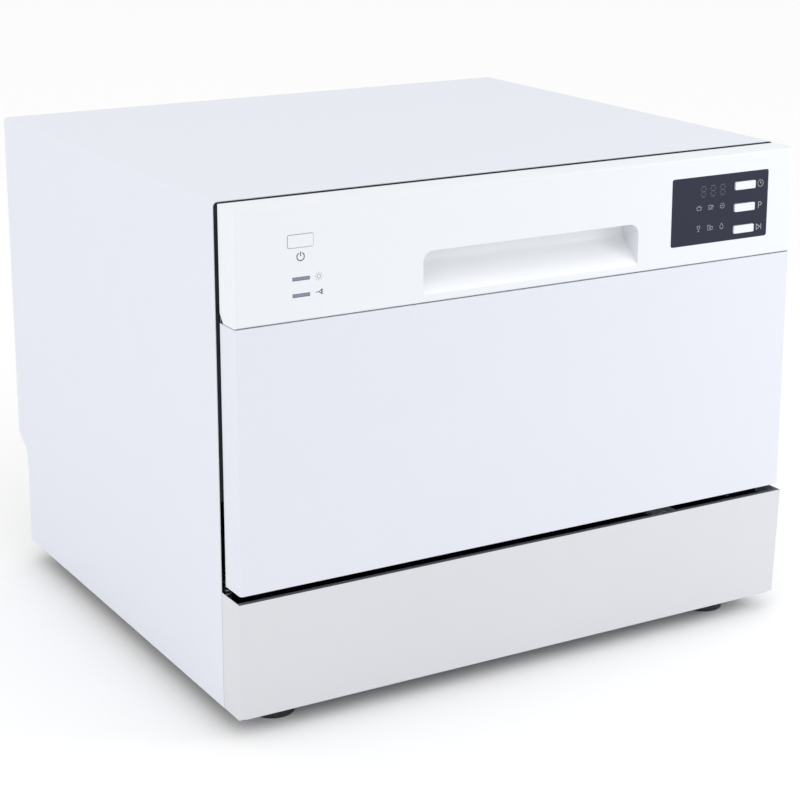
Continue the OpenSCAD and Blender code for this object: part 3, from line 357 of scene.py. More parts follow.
def material_for(slot):
    """The finish that stands for one of the record's material slots."""
    paint = bpy.context.scene.dishwasher_paint
    recipes = {
        "white_paint": dict(color=paint.cabinet, rough=0.36, grain=1400, relief=0.000012, wear=0.25,
                            wear_color=(0.93, 0.94, 0.97), variation=0.008, drift=0.04),
        "fascia_plastic": dict(color=paint.fascia, rough=0.30, grain=2600, relief=0.000006,
                               wear=0.15,
                               wear_color=(0.95, 0.96, 0.98), variation=0.006, drift=0.04),
        "kick_paint": dict(color=paint.kick, rough=0.42, grain=1200, relief=0.000014, wear=0.25,
                           wear_color=(0.86, 0.87, 0.89), variation=0.015, drift=0.05),
        "zinc_steel": dict(color=(0.56, 0.58, 0.60), rough=0.36, metal=1.0, grain=420,
                           relief=0.00002,
                           wear=0.4, wear_color=(0.76, 0.77, 0.78), variation=0.10, drift=0.16),
        "stainless": dict(color=(0.62, 0.63, 0.645), rough=0.27, metal=1.0, relief=0.00001,
                          wear=0.3,
                          wear_color=(0.8, 0.8, 0.81), variation=0.04, brushed=True, drift=0.08),
        "dark_plastic": dict(color=(0.050, 0.054, 0.066), rough=0.52, grain=1600, relief=0.00003,
                             wear=0.35, wear_color=(0.10, 0.10, 0.11), variation=0.12, drift=0.10),
        "grey_plastic": dict(color=(0.27, 0.285, 0.31), rough=0.45, grain=1600, relief=0.00002,
                             wear=0.3, wear_color=(0.42, 0.43, 0.45), variation=0.06, drift=0.08),
        "pale_plastic": dict(color=(0.70, 0.71, 0.69), rough=0.45, grain=1600, relief=0.00002,
                             wear=0.25, wear_color=(0.82, 0.82, 0.80), variation=0.04, drift=0.08),
        # Painted light: the harness clamp is much paler than its own plastic, standing in for front
        # light that doesn't reach it in the slot under the door.
        "clamp_plastic": dict(color=(0.80, 0.81, 0.88), rough=0.48, grain=1600, relief=0.00002,
                              wear=0.2, variation=0.05, drift=0.08),
        "black_rubber": dict(color=(0.022, 0.023, 0.026), rough=0.68, grain=900, relief=0.00004,
                             wear=0.4, wear_color=(0.07, 0.07, 0.075), variation=0.18, drift=0.14),
        "grey_rubber": dict(color=(0.10, 0.105, 0.115), rough=0.6, grain=900, relief=0.00004,
                            wear=0.3, wear_color=(0.18, 0.18, 0.19), variation=0.12, drift=0.10),
        "window_acrylic": dict(color=paint.window, rough=0.30, grain=3000, relief=0.000002,
                               wear=0.2,
                               wear_color=(0.07, 0.07, 0.10), variation=0.05, drift=0.05,
                               specular=0.12),
        "lens_plastic": dict(color=paint.light_bar, rough=0.25, grain=2400, relief=0.000004,
                             wear=0.1,
                             variation=0.04, drift=0.04),
        "board_green": dict(color=(0.02, 0.12, 0.05), rough=0.35, grain=800, relief=0.00004,
                            wear=0.3,
                            wear_color=(0.35, 0.30, 0.12), variation=0.18, drift=0.12),
        "cap_blue": dict(color=(0.05, 0.12, 0.36), rough=0.4, grain=1600, relief=0.00002, wear=0.3,
                         wear_color=(0.2, 0.3, 0.5), variation=0.06, drift=0.08),
        "coated_wire": dict(color=(0.56, 0.585, 0.62), rough=0.34, grain=700, relief=0.00003,
                            wear=0.2,
                            wear_color=(0.7, 0.72, 0.74), variation=0.05, drift=0.10),
        "felt": dict(color=(0.06, 0.055, 0.05), rough=0.95, grain=1900, relief=0.0004, wear=0.0,
                     variation=0.3, drift=0.05),
    }
    return finish(slot, **recipes[slot])


def ink(name, color, rough=0.5):
    return finish(name, color=color, rough=rough, grain=2200, relief=0.000004, wear=0.0,
                  variation=0.05)


# Mesh helpers

def place_mesh(name, bm, material, body, smooth=None):
    """Turns a bmesh in the part's frame into a finished piece that rides on a body."""
    mesh = bpy.data.meshes.new(name)
    bmesh.ops.recalc_face_normals(bm, faces=bm.faces)
    bm.to_mesh(mesh)
    bm.free()
    mesh.materials.append(material)
    if smooth is not None:
        mesh.shade_smooth()
        mesh.set_sharp_from_angle(angle=smooth)
    piece = bpy.data.objects.new(name, mesh)
    bpy.context.scene.collection.objects.link(piece)
    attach(piece, body)
    return piece


def baked_copy(piece):
    """Replaces a piece's live modifiers with their result."""
    bpy.context.view_layer.update()
    evaluated = piece.evaluated_get(bpy.context.evaluated_depsgraph_get())
    mesh = bpy.data.meshes.new_from_object(evaluated)
    piece.modifiers.clear()
    piece.data = mesh
    return piece


def node_bmesh(node, joined=True):
    """A clean copy of a CAD node's mesh: doubles merged and, where wanted, flat faces joined."""
    bm = bmesh.new()
    bm.from_mesh(frame["nodes"][node].data)
    bmesh.ops.remove_doubles(bm, verts=bm.verts, dist=2e-6)
    if joined:
        bmesh.ops.dissolve_limit(bm, angle_limit=math.radians(0.6), use_dissolve_boundaries=False,
                                 verts=bm.verts, edges=bm.edges)
    return bm


def softened(node, width, steps, angle=math.radians(34)):
    """A copy of a CAD node with small rounds on its edges, standing for the node."""
    bm = node_bmesh(node, joined=node not in PIERCED)
    name = node + "_soft"
    mesh = bpy.data.meshes.new(name)
    bm.to_mesh(mesh)
    bm.free()
    piece = bpy.data.objects.new(name, mesh)
    bpy.context.scene.collection.objects.link(piece)
    bevel = piece.modifiers.new("rounds", "BEVEL")
    bevel.width = width
    bevel.segments = steps
    bevel.limit_method = "ANGLE"
    bevel.angle_limit = angle
    bevel.use_clamp_overlap = True
    bevel.miter_outer = "MITER_ARC"
    baked_copy(piece)
    slot = SLOT_OF[node]
    piece.data.materials.clear()
    piece.data.materials.append(material_for(slot))
    piece.data.shade_smooth()
    piece.data.set_sharp_from_angle(angle=math.radians(40))
    weighted = piece.modifiers.new("even", "WEIGHTED_NORMAL")
    weighted.keep_sharp = True
    baked_copy(piece)
    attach(piece, BODY_OF[node])
    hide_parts(node)
    return piece


# Flat signs: strokes in X and Z

def stroke(bm, points, width, front, depth, closed=False):
    """Ribbon of even width along (x, z) points, mitred at its corners."""
    count = len(points)
    sides = []
    for i, (x, z) in enumerate(points):
        before = points[i - 1] if closed or i > 0 else None
        after = points[(i + 1) % count] if closed or i < count - 1 else None
        ways = []
        if before:
            ways.append(Vector((x - before[0], z - before[1])).normalized())
        if after:
            ways.append(Vector((after[0] - x, after[1] - z)).normalized())
        way = sum(ways, Vector((0, 0))).normalized()
        reach = 0.5 * width / max(0.35, way.dot(ways[0]))
        normal = Vector((-way.y, way.x)) * reach
        sides.append(((x + normal.x, z + normal.y), (x - normal.x, z - normal.y)))
    rings = []
    for left, right in sides:
        rings.append([bm.verts.new((left[0], front, left[1])),
                      bm.verts.new((right[0], front, right[1])),
                      bm.verts.new((right[0], front + depth, right[1])),
                      bm.verts.new((left[0], front + depth, left[1]))])
    links = count if closed else count - 1
    for i in range(links):
        here, there = rings[i], rings[(i + 1) % count]
        for k in range(4):
            bm.faces.new((here[k], here[(k + 1) % 4], there[(k + 1) % 4], there[k]))
    if not closed:
        bm.faces.new(rings[0])
        bm.faces.new(rings[-1][::-1])


def arc(cx, cz, radius, start, end, steps):
    angles = [math.radians(start + (end - start) * i / steps) for i in range(steps + 1)]
    return [(cx + radius * math.cos(a), cz + radius * math.sin(a)) for a in angles]


def ring(cx, cz, radius, steps=28):
    return arc(cx, cz, radius, 0, 360 * (steps - 1) / steps, steps - 1)


# Each sign is a list of (points, closed, weight), in millimetres about its centre
SIGNS = {
    "power": [(arc(0, 0, 3.2, 118, 422, 28), False, 1.6), ([(0, 0.3), (0, 3.9)], False, 1.6)],
    "rinse_aid": [(ring(0, 0, 1.5, 18), True, 0.9)] + [
        ([(2.3 * math.cos(a), 2.3 * math.sin(a)), (3.5 * math.cos(a), 3.5 * math.sin(a))], False,
         0.9)
        for a in (math.tau * i / 8 for i in range(8))],
    "tap": [([(-3.6, 0), (-0.6, 0)], False, 1.1), ([(-0.6, 0), (1.8, 1.8), (1.8, -1.8)], True, 1.2),
            ([(1.2, 0.8), (2.9, 1.9)], False, 1.0), ([(1.2, -0.8), (2.9, -1.9)], False, 1.0),
            ([(1.4, 0), (3.2, 0)], False, 1.0)],
    "clock": [(ring(0, 0, 3.0), True, 0.62), ([(0, 1.9), (0, 0), (1.4, 0)], False, 0.62)],
    "programme": [([(-1.4, -2.8), (-1.4, 2.6), (0.5, 2.6)] + arc(0.5, 1.2, 1.4, 80, -80, 8)
                   + [(0.5, -0.2), (-1.0, -0.2)], False, 0.8)],
    "start": [([(-2.7, -2.5), (-2.7, 2.5), (1.2, 0)], True, 0.8),
              ([(2.4, -2.5), (2.4, 2.5)], False, 0.8)],
    "pot": [([(-2.1, -1.7), (-2.1, 1.0), (2.1, 1.0), (2.1, -1.7)], True, 0.7),
            ([(-3.2, 0.4), (-2.1, 0.4)], False, 0.7), ([(2.1, 0.4), (3.2, 0.4)], False, 0.7),
            ([(-1.3, 1.9), (1.3, 1.9)], False, 0.7)],
    "cup": [([(-2.4, 1.5), (-1.8, -0.9), (0.9, -0.9), (1.5, 1.5)], True, 0.7),
            ([(1.5, 1.0), (2.7, 0.9), (2.4, -0.3), (1.2, -0.3)], False, 0.7),
            ([(-3.0, -1.9), (2.4, -1.9)], False, 0.7)],
    "bowl": [(arc(0, 0.2, 2.4, 180, 360, 14), True, 0.7), ([(-1.4, 1.2), (-1.4, 2.4)], False, 0.7),
             ([(0, 1.2), (0, 2.4)], False, 0.7), ([(1.4, 1.2), (1.4, 2.4)], False, 0.7)],
    "glass": [([(-1.5, 2.5), (-1.3, 0.6), (0, -0.4), (1.3, 0.6), (1.5, 2.5)], True, 0.7),
              ([(0, -0.4), (0, -2.3)], False, 0.7), ([(-1.3, -2.3), (1.3, -2.3)], False, 0.7)],
    "glasses": [([(-2.6, 2.2), (-2.3, -2.0), (-0.4, -2.0), (-0.1, 2.2)], True, 0.7),
                ([(0.7, 0.8), (0.9, -2.0), (2.5, -2.0), (2.7, 0.8)], True, 0.7)],
    "drop": [([(0, 2.7), (1.5, 0.4)] + arc(0, -0.6, 1.75, 20, -200, 14) + [(-1.5, 0.4)], True,
              0.7)],
}


def draw_sign(bm, name, x, z, front, depth, line):
    for points, closed, weight in SIGNS[name]:
        path = [(x + px * MM, z + pz * MM) for px, pz in points]
        stroke(bm, path, line * weight, front, depth, closed)


# Shapes along a path or about an axis

def rounded_path(centre, across, along, wide, tall, radius, steps=6):
    """Points of a rounded rectangle about a centre, in the plane of two unit vectors."""
    points = []
    for right, top, start in ((1, 1, 0), (-1, 1, 90), (-1, -1, 180), (1, -1, 270)):
        for i in range(steps + 1):
            a = math.radians(start + 90 * i / steps)
            points.append(centre + across * (right * (wide / 2 - radius) + radius * math.cos(a))
                          + along * (top * (tall / 2 - radius) + radius * math.sin(a)))
    return points


def bead(bm, path, up, width, height):
    """Soft low bead along a closed path, standing on the face that up points out of."""
    across = 9
    sunk = 0.00015
    rings = []
    count = len(path)
    for i, point in enumerate(path):
        side = up.cross((path[(i + 1) % count] - path[i - 1]).normalized())
        row = []
        for k in range(across):
            s = 2 * k / (across - 1) - 1
            rise = height * (0.5 + 0.5 * math.cos(math.pi * s)) - sunk
            row.append(bm.verts.new(point + side * (s * width / 2) + up * rise))
        rings.append(row)
    for i in range(count):
        here, there = rings[i], rings[(i + 1) % count]
        for k in range(across):
            after = (k + 1) % across
            bm.faces.new((here[k], there[k], there[after], here[after]))


def turned(bm, profile, centre, axis, steps=40):
    """Closed body turned about an axis from a closed loop of (along, radius) points."""
    axis = axis.normalized()
    first = axis.orthogonal().normalized()
    second = axis.cross(first)
    rings = []
    for i in range(steps):
        a = math.tau * i / steps
        out = first * math.cos(a) + second * math.sin(a)
        rings.append([bm.verts.new(centre + axis * u + out * r) for u, r in profile])
    size = len(profile)
    for i in range(steps):
        here, there = rings[i], rings[(i + 1) % steps]
        for k in range(size):
            bm.faces.new((here[k], there[k], there[(k + 1) % size], here[(k + 1) % size]))


def rod_along(bm, path, radius, sides=10):
    """Closed round rod along an open path of points."""
    rings = []
    side = None
    for i, point in enumerate(path):
        way = (path[min(i + 1, len(path) - 1)] - path[max(i - 1, 0)]).normalized()
        side = way.orthogonal() if side is None else side - way * side.dot(way)
        side.normalize()
        other = way.cross(side)
        rings.append([bm.verts.new(point + (side * math.cos(math.tau * k / sides)
                                            + other * math.sin(math.tau * k / sides)) * radius)
                      for k in range(sides)])
    for here, there in zip(rings, rings[1:]):
        for k in range(sides):
            bm.faces.new((here[k], there[k], there[(k + 1) % sides], here[(k + 1) % sides]))
    bm.faces.new(rings[0])
    bm.faces.new(rings[-1][::-1])


# Geometry Nodes

def node_tree(name, inputs):
    tree = bpy.data.node_groups.new(name, "GeometryNodeTree")
    tree.interface.new_socket("Geometry", in_out="INPUT", socket_type="NodeSocketGeometry")
    for kind, label, value in inputs:
        socket = tree.interface.new_socket(label, in_out="INPUT", socket_type=kind)
        if value is not None:
            socket.default_value = value
    tree.interface.new_socket("Geometry", in_out="OUTPUT", socket_type="NodeSocketGeometry")
    return tree, tree.nodes.new("NodeGroupInput"), tree.nodes.new("NodeGroupOutput")


def close_tree(tree, out, geometry, given):
    """Ends a tree in real meshes with one material."""
    real = tree.nodes.new("GeometryNodeRealizeInstances")
    dressed = tree.nodes.new("GeometryNodeSetMaterial")
    join(tree, geometry, real.inputs[0])
    join(tree, real.outputs[0], dressed.inputs["Geometry"])
    join(tree, given.outputs["Material"], dressed.inputs["Material"])
    join(tree, dressed.outputs[0], out.inputs[0])


def run_tree(name, tree, points, ways, body, slot, material, **values):
    """Runs a tree on loose points, each with its way to face, and keeps the result as a mesh."""
    mesh = bpy.data.meshes.new(name)
    mesh.from_pydata([tuple(p) for p in points], [], [])
    facing = mesh.attributes.new("facing", "FLOAT_VECTOR", "POINT")
    for item, way in zip(facing.data, ways):
        item.vector = way
    piece = bpy.data.objects.new(name, mesh)
    bpy.context.scene.collection.objects.link(piece)
    modifier = piece.modifiers.new("pattern", "NODES")
    modifier.node_group = tree
    values["Material"] = material
    for item in tree.interface.items_tree:
        if item.item_type == "SOCKET" and item.in_out == "INPUT" and item.name in values:
            modifier[item.identifier] = values[item.name]
    baked_copy(piece)
    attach(piece, body)
    return piece


def screw_tree():
    """Pan heads with a cross recess, one on each point, facing the way stored on the point."""
    top_share, bar_share, lift_share, first_turn = 0.72, 1.05, 0.9, 0.4
    tree, given, out = node_tree("Pan head screws", [
        ("NodeSocketFloat", "Radius", 0.0035), ("NodeSocketFloat", "Height", 0.0019),
        ("NodeSocketFloat", "Recess", 0.0009), ("NodeSocketMaterial", "Material", None)])
    profile = tree.nodes.new("GeometryNodeMeshCone")
    profile.inputs["Vertices"].default_value = 20
    join(tree, given.outputs["Radius"], profile.inputs["Radius Bottom"])
    join(tree, maths(tree, "MULTIPLY", given.outputs["Radius"], top_share),
         profile.inputs["Radius Top"])
    join(tree, given.outputs["Height"], profile.inputs["Depth"])
    bars = []
    for turn in (0.0, math.pi / 2):
        bar = tree.nodes.new("GeometryNodeMeshCube")
        size = tree.nodes.new("ShaderNodeCombineXYZ")
        join(tree, maths(tree, "MULTIPLY", given.outputs["Radius"], bar_share), size.inputs["X"])
        join(tree, given.outputs["Recess"], size.inputs["Y"])
        join(tree, given.outputs["Height"], size.inputs["Z"])
        join(tree, size.outputs[0], bar.inputs["Size"])
        move = tree.nodes.new("GeometryNodeTransform")
        shift = tree.nodes.new("ShaderNodeCombineXYZ")
        join(tree, maths(tree, "MULTIPLY", given.outputs["Height"], lift_share), shift.inputs["Z"])
        join(tree, shift.outputs[0], move.inputs["Translation"])
        move.inputs["Rotation"].default_value = (0.0, 0.0, turn + first_turn)
        join(tree, bar.outputs["Mesh"], move.inputs["Geometry"])
        bars.append(move.outputs[0])
    cut = tree.nodes.new("GeometryNodeMeshBoolean")
    cut.operation = "DIFFERENCE"
    join(tree, profile.outputs["Mesh"], cut.inputs["Mesh 1"])
    for bar in bars:
        join(tree, bar, cut.inputs["Mesh 2"])
    spread = tree.nodes.new("GeometryNodeInstanceOnPoints")
    join(tree, given.outputs["Geometry"], spread.inputs["Points"])
    join(tree, cut.outputs["Mesh"], spread.inputs["Instance"])
    facing = tree.nodes.new("GeometryNodeInputNamedAttribute")
    facing.data_type = "FLOAT_VECTOR"
    facing.inputs["Name"].default_value = "facing"
    turn = tree.nodes.new("FunctionNodeAlignRotationToVector")
    turn.axis = "Z"
    join(tree, facing.outputs["Attribute"], turn.inputs["Vector"])
    join(tree, turn.outputs["Rotation"], spread.inputs["Rotation"])
    close_tree(tree, out, spread.outputs[0], given)
    return tree


def slot_rim_tree():
    """Rolled rims of upright air slots, one on each point, in the plane of X and Z."""
    tree, given, out = node_tree("Slot rims", [
        ("NodeSocketFloat", "Width", 0.006), ("NodeSocketFloat", "Height", 0.06),
        ("NodeSocketFloat", "Rim", 0.0007), ("NodeSocketMaterial", "Material", None)])
    outline = tree.nodes.new("GeometryNodeCurvePrimitiveQuadrilateral")
    join(tree, given.outputs["Width"], outline.inputs["Width"])
    join(tree, given.outputs["Height"], outline.inputs["Height"])
    ends = tree.nodes.new("GeometryNodeFilletCurve")
    ends.mode = "POLY"
    ends.inputs["Count"].default_value = 8
    join(tree, outline.outputs["Curve"], ends.inputs["Curve"])
    join(tree, maths(tree, "MULTIPLY", given.outputs["Width"], 0.49), ends.inputs["Radius"])
    section = tree.nodes.new("GeometryNodeCurvePrimitiveCircle")
    section.inputs["Resolution"].default_value = 8
    join(tree, given.outputs["Rim"], section.inputs["Radius"])
    rim = tree.nodes.new("GeometryNodeCurveToMesh")
    join(tree, ends.outputs["Curve"], rim.inputs["Curve"])
    join(tree, section.outputs["Curve"], rim.inputs["Profile Curve"])
    spread = tree.nodes.new("GeometryNodeInstanceOnPoints")
    join(tree, given.outputs["Geometry"], spread.inputs["Points"])
    join(tree, rim.outputs["Mesh"], spread.inputs["Instance"])
    spread.inputs["Rotation"].default_value = (math.pi / 2, 0.0, 0.0)
    close_tree(tree, out, spread.outputs[0], given)
    return tree


def islands(node):
    """Boxes of the separate solids inside one CAD node."""
    bm = node_bmesh(node)
    left = set(bm.verts)
    boxes = []
    while left:
        stack = [left.pop()]
        found = []
        while stack:
            v = stack.pop()
            found.append(v.co.copy())
            for e in v.link_edges:
                o = e.other_vert(v)
                if o in left:
                    left.remove(o)
                    stack.append(o)
        lo = Vector([min(c[i] for c in found) for i in range(3)])
        hi = Vector([max(c[i] for c in found) for i in range(3)])
        boxes.append((lo, hi))
    bm.free()
    return sorted(boxes, key=lambda b: (round(b[0].x, 4), round(b[0].z, 4)))


# Operators

class PieceOperator:
    bl_options = {"REGISTER", "UNDO"}


class DISHWASHER_OT_finishes(PieceOperator, bpy.types.Operator):
    """Give every node of the frame its procedural finish"""

    bl_idname = "dishwasher.finishes"
    bl_label = "Finishes"

    def execute(self, context):
        for node, piece in frame["nodes"].items():
            piece.data.materials.clear()
            piece.data.materials.append(material_for(SLOT_OF[node]))
        return {"FINISHED"}


class DISHWASHER_OT_soft_edges(PieceOperator, bpy.types.Operator):
    """Round the edges of the sheet and moulded pieces"""

    bl_idname = "dishwasher.soft_edges"
    bl_label = "Soft edges"

    SHEETS = ("outer_wrap", "kick_plate", "door_panel", "rear_panel", "door_liner", "front_frame",
              "hinge_brackets", "hinge_arms", "filter_plate")
    MOULDED = ("control_fascia", "display_window", "power_button", "delay_button", "program_button",
               "start_button", "dispenser_body", "dispenser_lid", "dispenser_latch", "rinse_cap",
               "cutlery_basket", "basket_walls", "spray_arm", "micro_filter", "float_dome", "feet",
               "base_frame", "harness_clamp", "drain_outlet", "cable_gland", "latch_housing",
               "indicator_lenses")

    def execute(self, context):
        edges = context.scene.dishwasher_edges
        for node in self.SHEETS:
            softened(node, edges.sheet, edges.steps)
        for node in self.MOULDED:
            softened(node, edges.moulded, edges.steps)
        # Painted shade: a dark finish on faces in the gaps around the door and above the kick
        # plate.
        dark = finish("gap_painted_shade", color=(0.085, 0.092, 0.122), rough=0.75, grain=900,
                      relief=0.00002, wear=0.2, variation=0.15)
        self.shade_wrap_gaps(dark)
        self.shade_kick_slot(dark)
        self.paint_pocket_light()
        return {"FINISHED"}

    @staticmethod
    def shade_wrap_gaps(dark):
        """Painted shade: dark faces inside the wrap and on its set-back side lips darken the door
        gaps.
        """
        mesh = bpy.data.objects["outer_wrap_soft"].data
        mesh.materials.append(dark)
        lo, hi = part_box("outer_wrap")
        middle = (lo + hi) / 2
        for face in mesh.polygons:
            away = face.center - middle
            top = face.center.z > hi.z - 6 * MM
            inward = face.normal.x * away.x < -1e-6 or (face.normal.z < -0.3 and away.z > 0)
            lip = lo.y + 1.5 * MM < face.center.y < lo.y + 12 * MM and abs(face.normal.y) > 0.7
            if inward or (lip and not top):
                face.material_index = 1

    @staticmethod
    def shade_kick_slot(dark):
        """Painted shade: the upper edge and inner faces are darkened so the slot above reads dark;
        front and ends keep paint.
        """
        mesh = bpy.data.objects["kick_plate_soft"].data
        mesh.materials.append(dark)
        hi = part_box("kick_plate")[1]
        for face in mesh.polygons:
            if face.normal.y > 0.5 or (face.normal.z > 0.8 and face.center.z > hi.z - 1 * MM):
                face.material_index = 1

    @staticmethod
    def paint_pocket_light():
        """A lighter finish in the handle pocket stands in for front light that the stage lacks."""
        mesh = bpy.data.objects["control_fascia_soft"].data
        color = bpy.context.scene.dishwasher_paint.pocket
        mesh.materials.append(finish("pocket_painted_light", color=color, rough=0.22, grain=2600,
                                     relief=0.000004,
                                     wear=0.0, variation=0.006, drift=0.04))
        half_width, rim, depth = 100.4 * MM, 0.3 * MM, 30 * MM
        above_edge, below_top = 2 * MM, 20 * MM
        for face in mesh.polygons:
            c = face.center
            inside = (abs(c.x) < half_width and FASCIA_LO.y + rim < c.y < FASCIA_LO.y + depth
                      and FASCIA_LO.z + above_edge < c.z < FASCIA_HI.z - below_top)
            if inside and face.normal.y < 0.9:
                face.material_index = 1


class DISHWASHER_OT_pressings(PieceOperator, bpy.types.Operator):
    """Press stiffening beads into the tub, the door liner and the rear sheet"""

    bl_idname = "dishwasher.pressings"
    bl_label = "Pressed beads"

    # Width, height and corner radius of the beads on each face
    BACK = ((0.40, 0.19, 0.022), (0.33, 0.12, 0.022))
    ROOF = ((0.40, 0.34, 0.03), (0.32, 0.26, 0.03))
    FLOOR = ((0.33, 0.33, 0.16),)
    SIDE = ((0.34, 0.145, 0.02), (0.28, 0.085, 0.02))
    LINER = ((0.452, 0.222, 0.024),)
    LINER_WING = ((0.07, 0.15, 0.016),)
    REAR = ((0.47, 0.15, 0.03), (0.40, 0.09, 0.02))

    WING_X = 0.158
    REAR_Z = 0.328
    SLOT_Z = 0.187
    SLOT_STEP = 0.03
    DISPENSER_MARGIN = 0.034
    SMOOTH = math.radians(50)

    def execute(self, context):
        size = context.scene.dishwasher_pressings
        x, y, z = Vector((1, 0, 0)), Vector((0, 1, 0)), Vector((0, 0, 1))

        def press(bm, beads, centre, across, along, up, steps=6):
            for wide, tall, radius in beads:
                path = rounded_path(Vector(centre), across, along, wide, tall, radius, steps)
                bead(bm, path, up, size.width, size.height)

        def place(name, bm, body, slot):
            place_mesh(name, bm, material_for(slot), body, smooth=self.SMOOTH)

        side_lo, side_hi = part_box("tub_sides")
        tub_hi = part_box("tub")[1]
        sheet = 0.8 * MM
        wall = side_hi.x - 16 * MM
        back = tub_hi.y - sheet
        roof = side_hi.z + 12 * MM
        base = side_lo.z - 12 * MM
        half = (side_lo.z + side_hi.z) / 2
        bm = bmesh.new()
        press(bm, self.BACK, (0, back, half + 0.006), x, z, -y)
        press(bm, self.ROOF, (0, 0.008, roof), x, y, -z)
        press(bm, self.FLOOR, (0, 0.005, base), x, y, z, 16)
        place("tub_beads", bm, "cabinet", "stainless")
        bm = bmesh.new()
        for turn in (-1, 1):
            press(bm, self.SIDE, (turn * wall, 0.008, half + 0.026), y, z, x * -turn)
        place("tub_side_beads", bm, "cabinet", "stainless")

        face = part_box("door_liner")[1]
        cup_lo, cup_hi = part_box("dispenser_body")
        around = ((cup_hi.x - cup_lo.x + self.DISPENSER_MARGIN,
                   cup_hi.z - cup_lo.z + self.DISPENSER_MARGIN, 0.016),)
        bm = bmesh.new()
        press(bm, self.LINER, (0, face.y, half), x, z, y)
        press(bm, around, (0, face.y, (cup_lo.z + cup_hi.z) / 2), x, z, y)
        for turn in (-1, 1):
            press(bm, self.LINER_WING, (turn * self.WING_X, face.y, half), x, z, y)
        place("liner_beads", bm, "door", "stainless")

        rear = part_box("rear_panel")[1].y
        bm = bmesh.new()
        press(bm, self.REAR, (0, rear, self.REAR_Z), x, z, y)
        place("rear_beads", bm, "cabinet", "zinc_steel")
        points = [(self.SLOT_STEP * i, rear, self.SLOT_Z) for i in range(-6, 7)]
        run_tree("air_slot_rims", slot_rim_tree(), points, [(0, 1, 0)] * len(points), "cabinet",
                 "zinc_steel", material_for("zinc_steel"), Width=size.slot_width + size.slot_rim,
                 Height=size.slot_height + size.slot_rim, Rim=size.slot_rim)
        return {"FINISHED"}


class DISHWASHER_OT_wheels(PieceOperator, bpy.types.Operator):
    """Turn the four rack wheels with a round tread and dished faces"""

    bl_idname = "dishwasher.wheels"
    bl_label = "Rack wheels"

    def execute(self, context):
        for node in ("wheel_front_left", "wheel_front_right", "wheel_rear_left",
                     "wheel_rear_right"):
            lo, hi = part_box(node)
            rim = (hi.z - lo.z) / 2
            half = (hi.x - lo.x) / 2
            bore = 2.06 * MM
            side = [(half, bore), (half, bore + 1.5 * MM), (half - 0.8 * MM, bore + 1.8 * MM),
                    (half - 0.8 * MM, rim - 2.0 * MM), (half, rim - 1.7 * MM),
                    (half, rim - 0.5 * MM),
                    (half - 0.3 * MM, rim - 0.15 * MM), (half - 0.8 * MM, rim)]
            profile = side + [(-u, r) for u, r in reversed(side)]
            bm = bmesh.new()
            turned(bm, profile, (lo + hi) / 2, Vector((1, 0, 0)))
            piece = place_mesh(node + "_turned", bm, material_for(SLOT_OF[node]), BODY_OF[node],
                               smooth=math.radians(35))
            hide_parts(node)
        return {"FINISHED"}


class DISHWASHER_OT_water_port(PieceOperator, bpy.types.Operator):
    """Cut the thread of the water port"""

    bl_idname = "dishwasher.water_port"
    bl_label = "Water port"

    def execute(self, context):
        fittings = context.scene.dishwasher_fittings
        axis_x, axis_z, radius = -0.170, 0.068, 0.0132
        per_turn, fade_steps = 36, 12
        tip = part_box("inlet_valve")[1].y
        start = tip - 16.5 * MM
        core = radius - fittings.thread_depth
        valve = softened("inlet_valve", 0.0003, 1)
        for v in valve.data.vertices:
            out = Vector((v.co.x - axis_x, v.co.z - axis_z))
            if v.co.y > start and out.length > radius - 0.8 * MM:
                scale = core / out.length
                v.co.x, v.co.z = axis_x + out.x * scale, axis_z + out.y * scale
        bm = bmesh.new()
        turns = (tip - start - 2.2 * MM) / fittings.thread_pitch
        steps = int(turns * per_turn)
        crest = 0.16 * fittings.thread_pitch
        foot = 0.47 * fittings.thread_pitch
        rings = []
        for i in range(steps + 1):
            a = math.tau * i / per_turn
            y = start + 1.0 * MM + fittings.thread_pitch * i / per_turn
            fade = min(1.0, i / fade_steps, (steps - i) / fade_steps)
            high = core + fittings.thread_depth * fade
            rings.append([bm.verts.new((axis_x + r * math.cos(a), y + dy, axis_z + r * math.sin(a)))
                          for dy, r in ((-foot, core - 0.1 * MM), (-crest, high), (crest, high),
                                        (foot, core - 0.1 * MM))])
        for here, there in zip(rings, rings[1:]):
            for k in range(4):
                bm.faces.new((here[k], there[k], there[(k + 1) % 4], here[(k + 1) % 4]))
        bm.faces.new(rings[0])
        bm.faces.new(rings[-1][::-1])
        place_mesh("water_port_thread", bm, material_for("pale_plastic"), "cabinet",
                   smooth=math.radians(30))
        return {"FINISHED"}


class DISHWASHER_OT_basket_handle(PieceOperator, bpy.types.Operator):
    """Give the cutlery basket its carrying bow and its rolled rim"""

    bl_idname = "dishwasher.basket_handle"
    bl_label = "Basket handle"

    def execute(self, context):
        rod = context.scene.dishwasher_fittings.handle_rod / 2
        lo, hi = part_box("basket_walls")
        middle = (lo + hi) / 2
        foot = hi.z - 14 * MM
        bm = bmesh.new()
        bow = [Vector((middle.x + 30 * MM * math.cos(a), middle.y, hi.z + 22 * MM * math.sin(a)))
               for a in (math.pi * i / 20 for i in range(21))]
        ends = [Vector((point.x, middle.y, foot)) for point in (bow[0], bow[-1])]
        rod_along(bm, [ends[0], *bow, ends[1]], rod)
        rim = rounded_path(Vector((middle.x, middle.y, hi.z)), Vector((1, 0, 0)), Vector((0, 1, 0)),
                           hi.x - lo.x - 1 * MM, hi.y - lo.y - 1 * MM, 1.5 * MM, 3)
        bead(bm, rim, Vector((0, 0, 1)), 3.2 * MM, 1.4 * MM)
        place_mesh("basket_bow", bm, material_for("grey_plastic"), "rack",
                   smooth=math.radians(40))
        return {"FINISHED"}


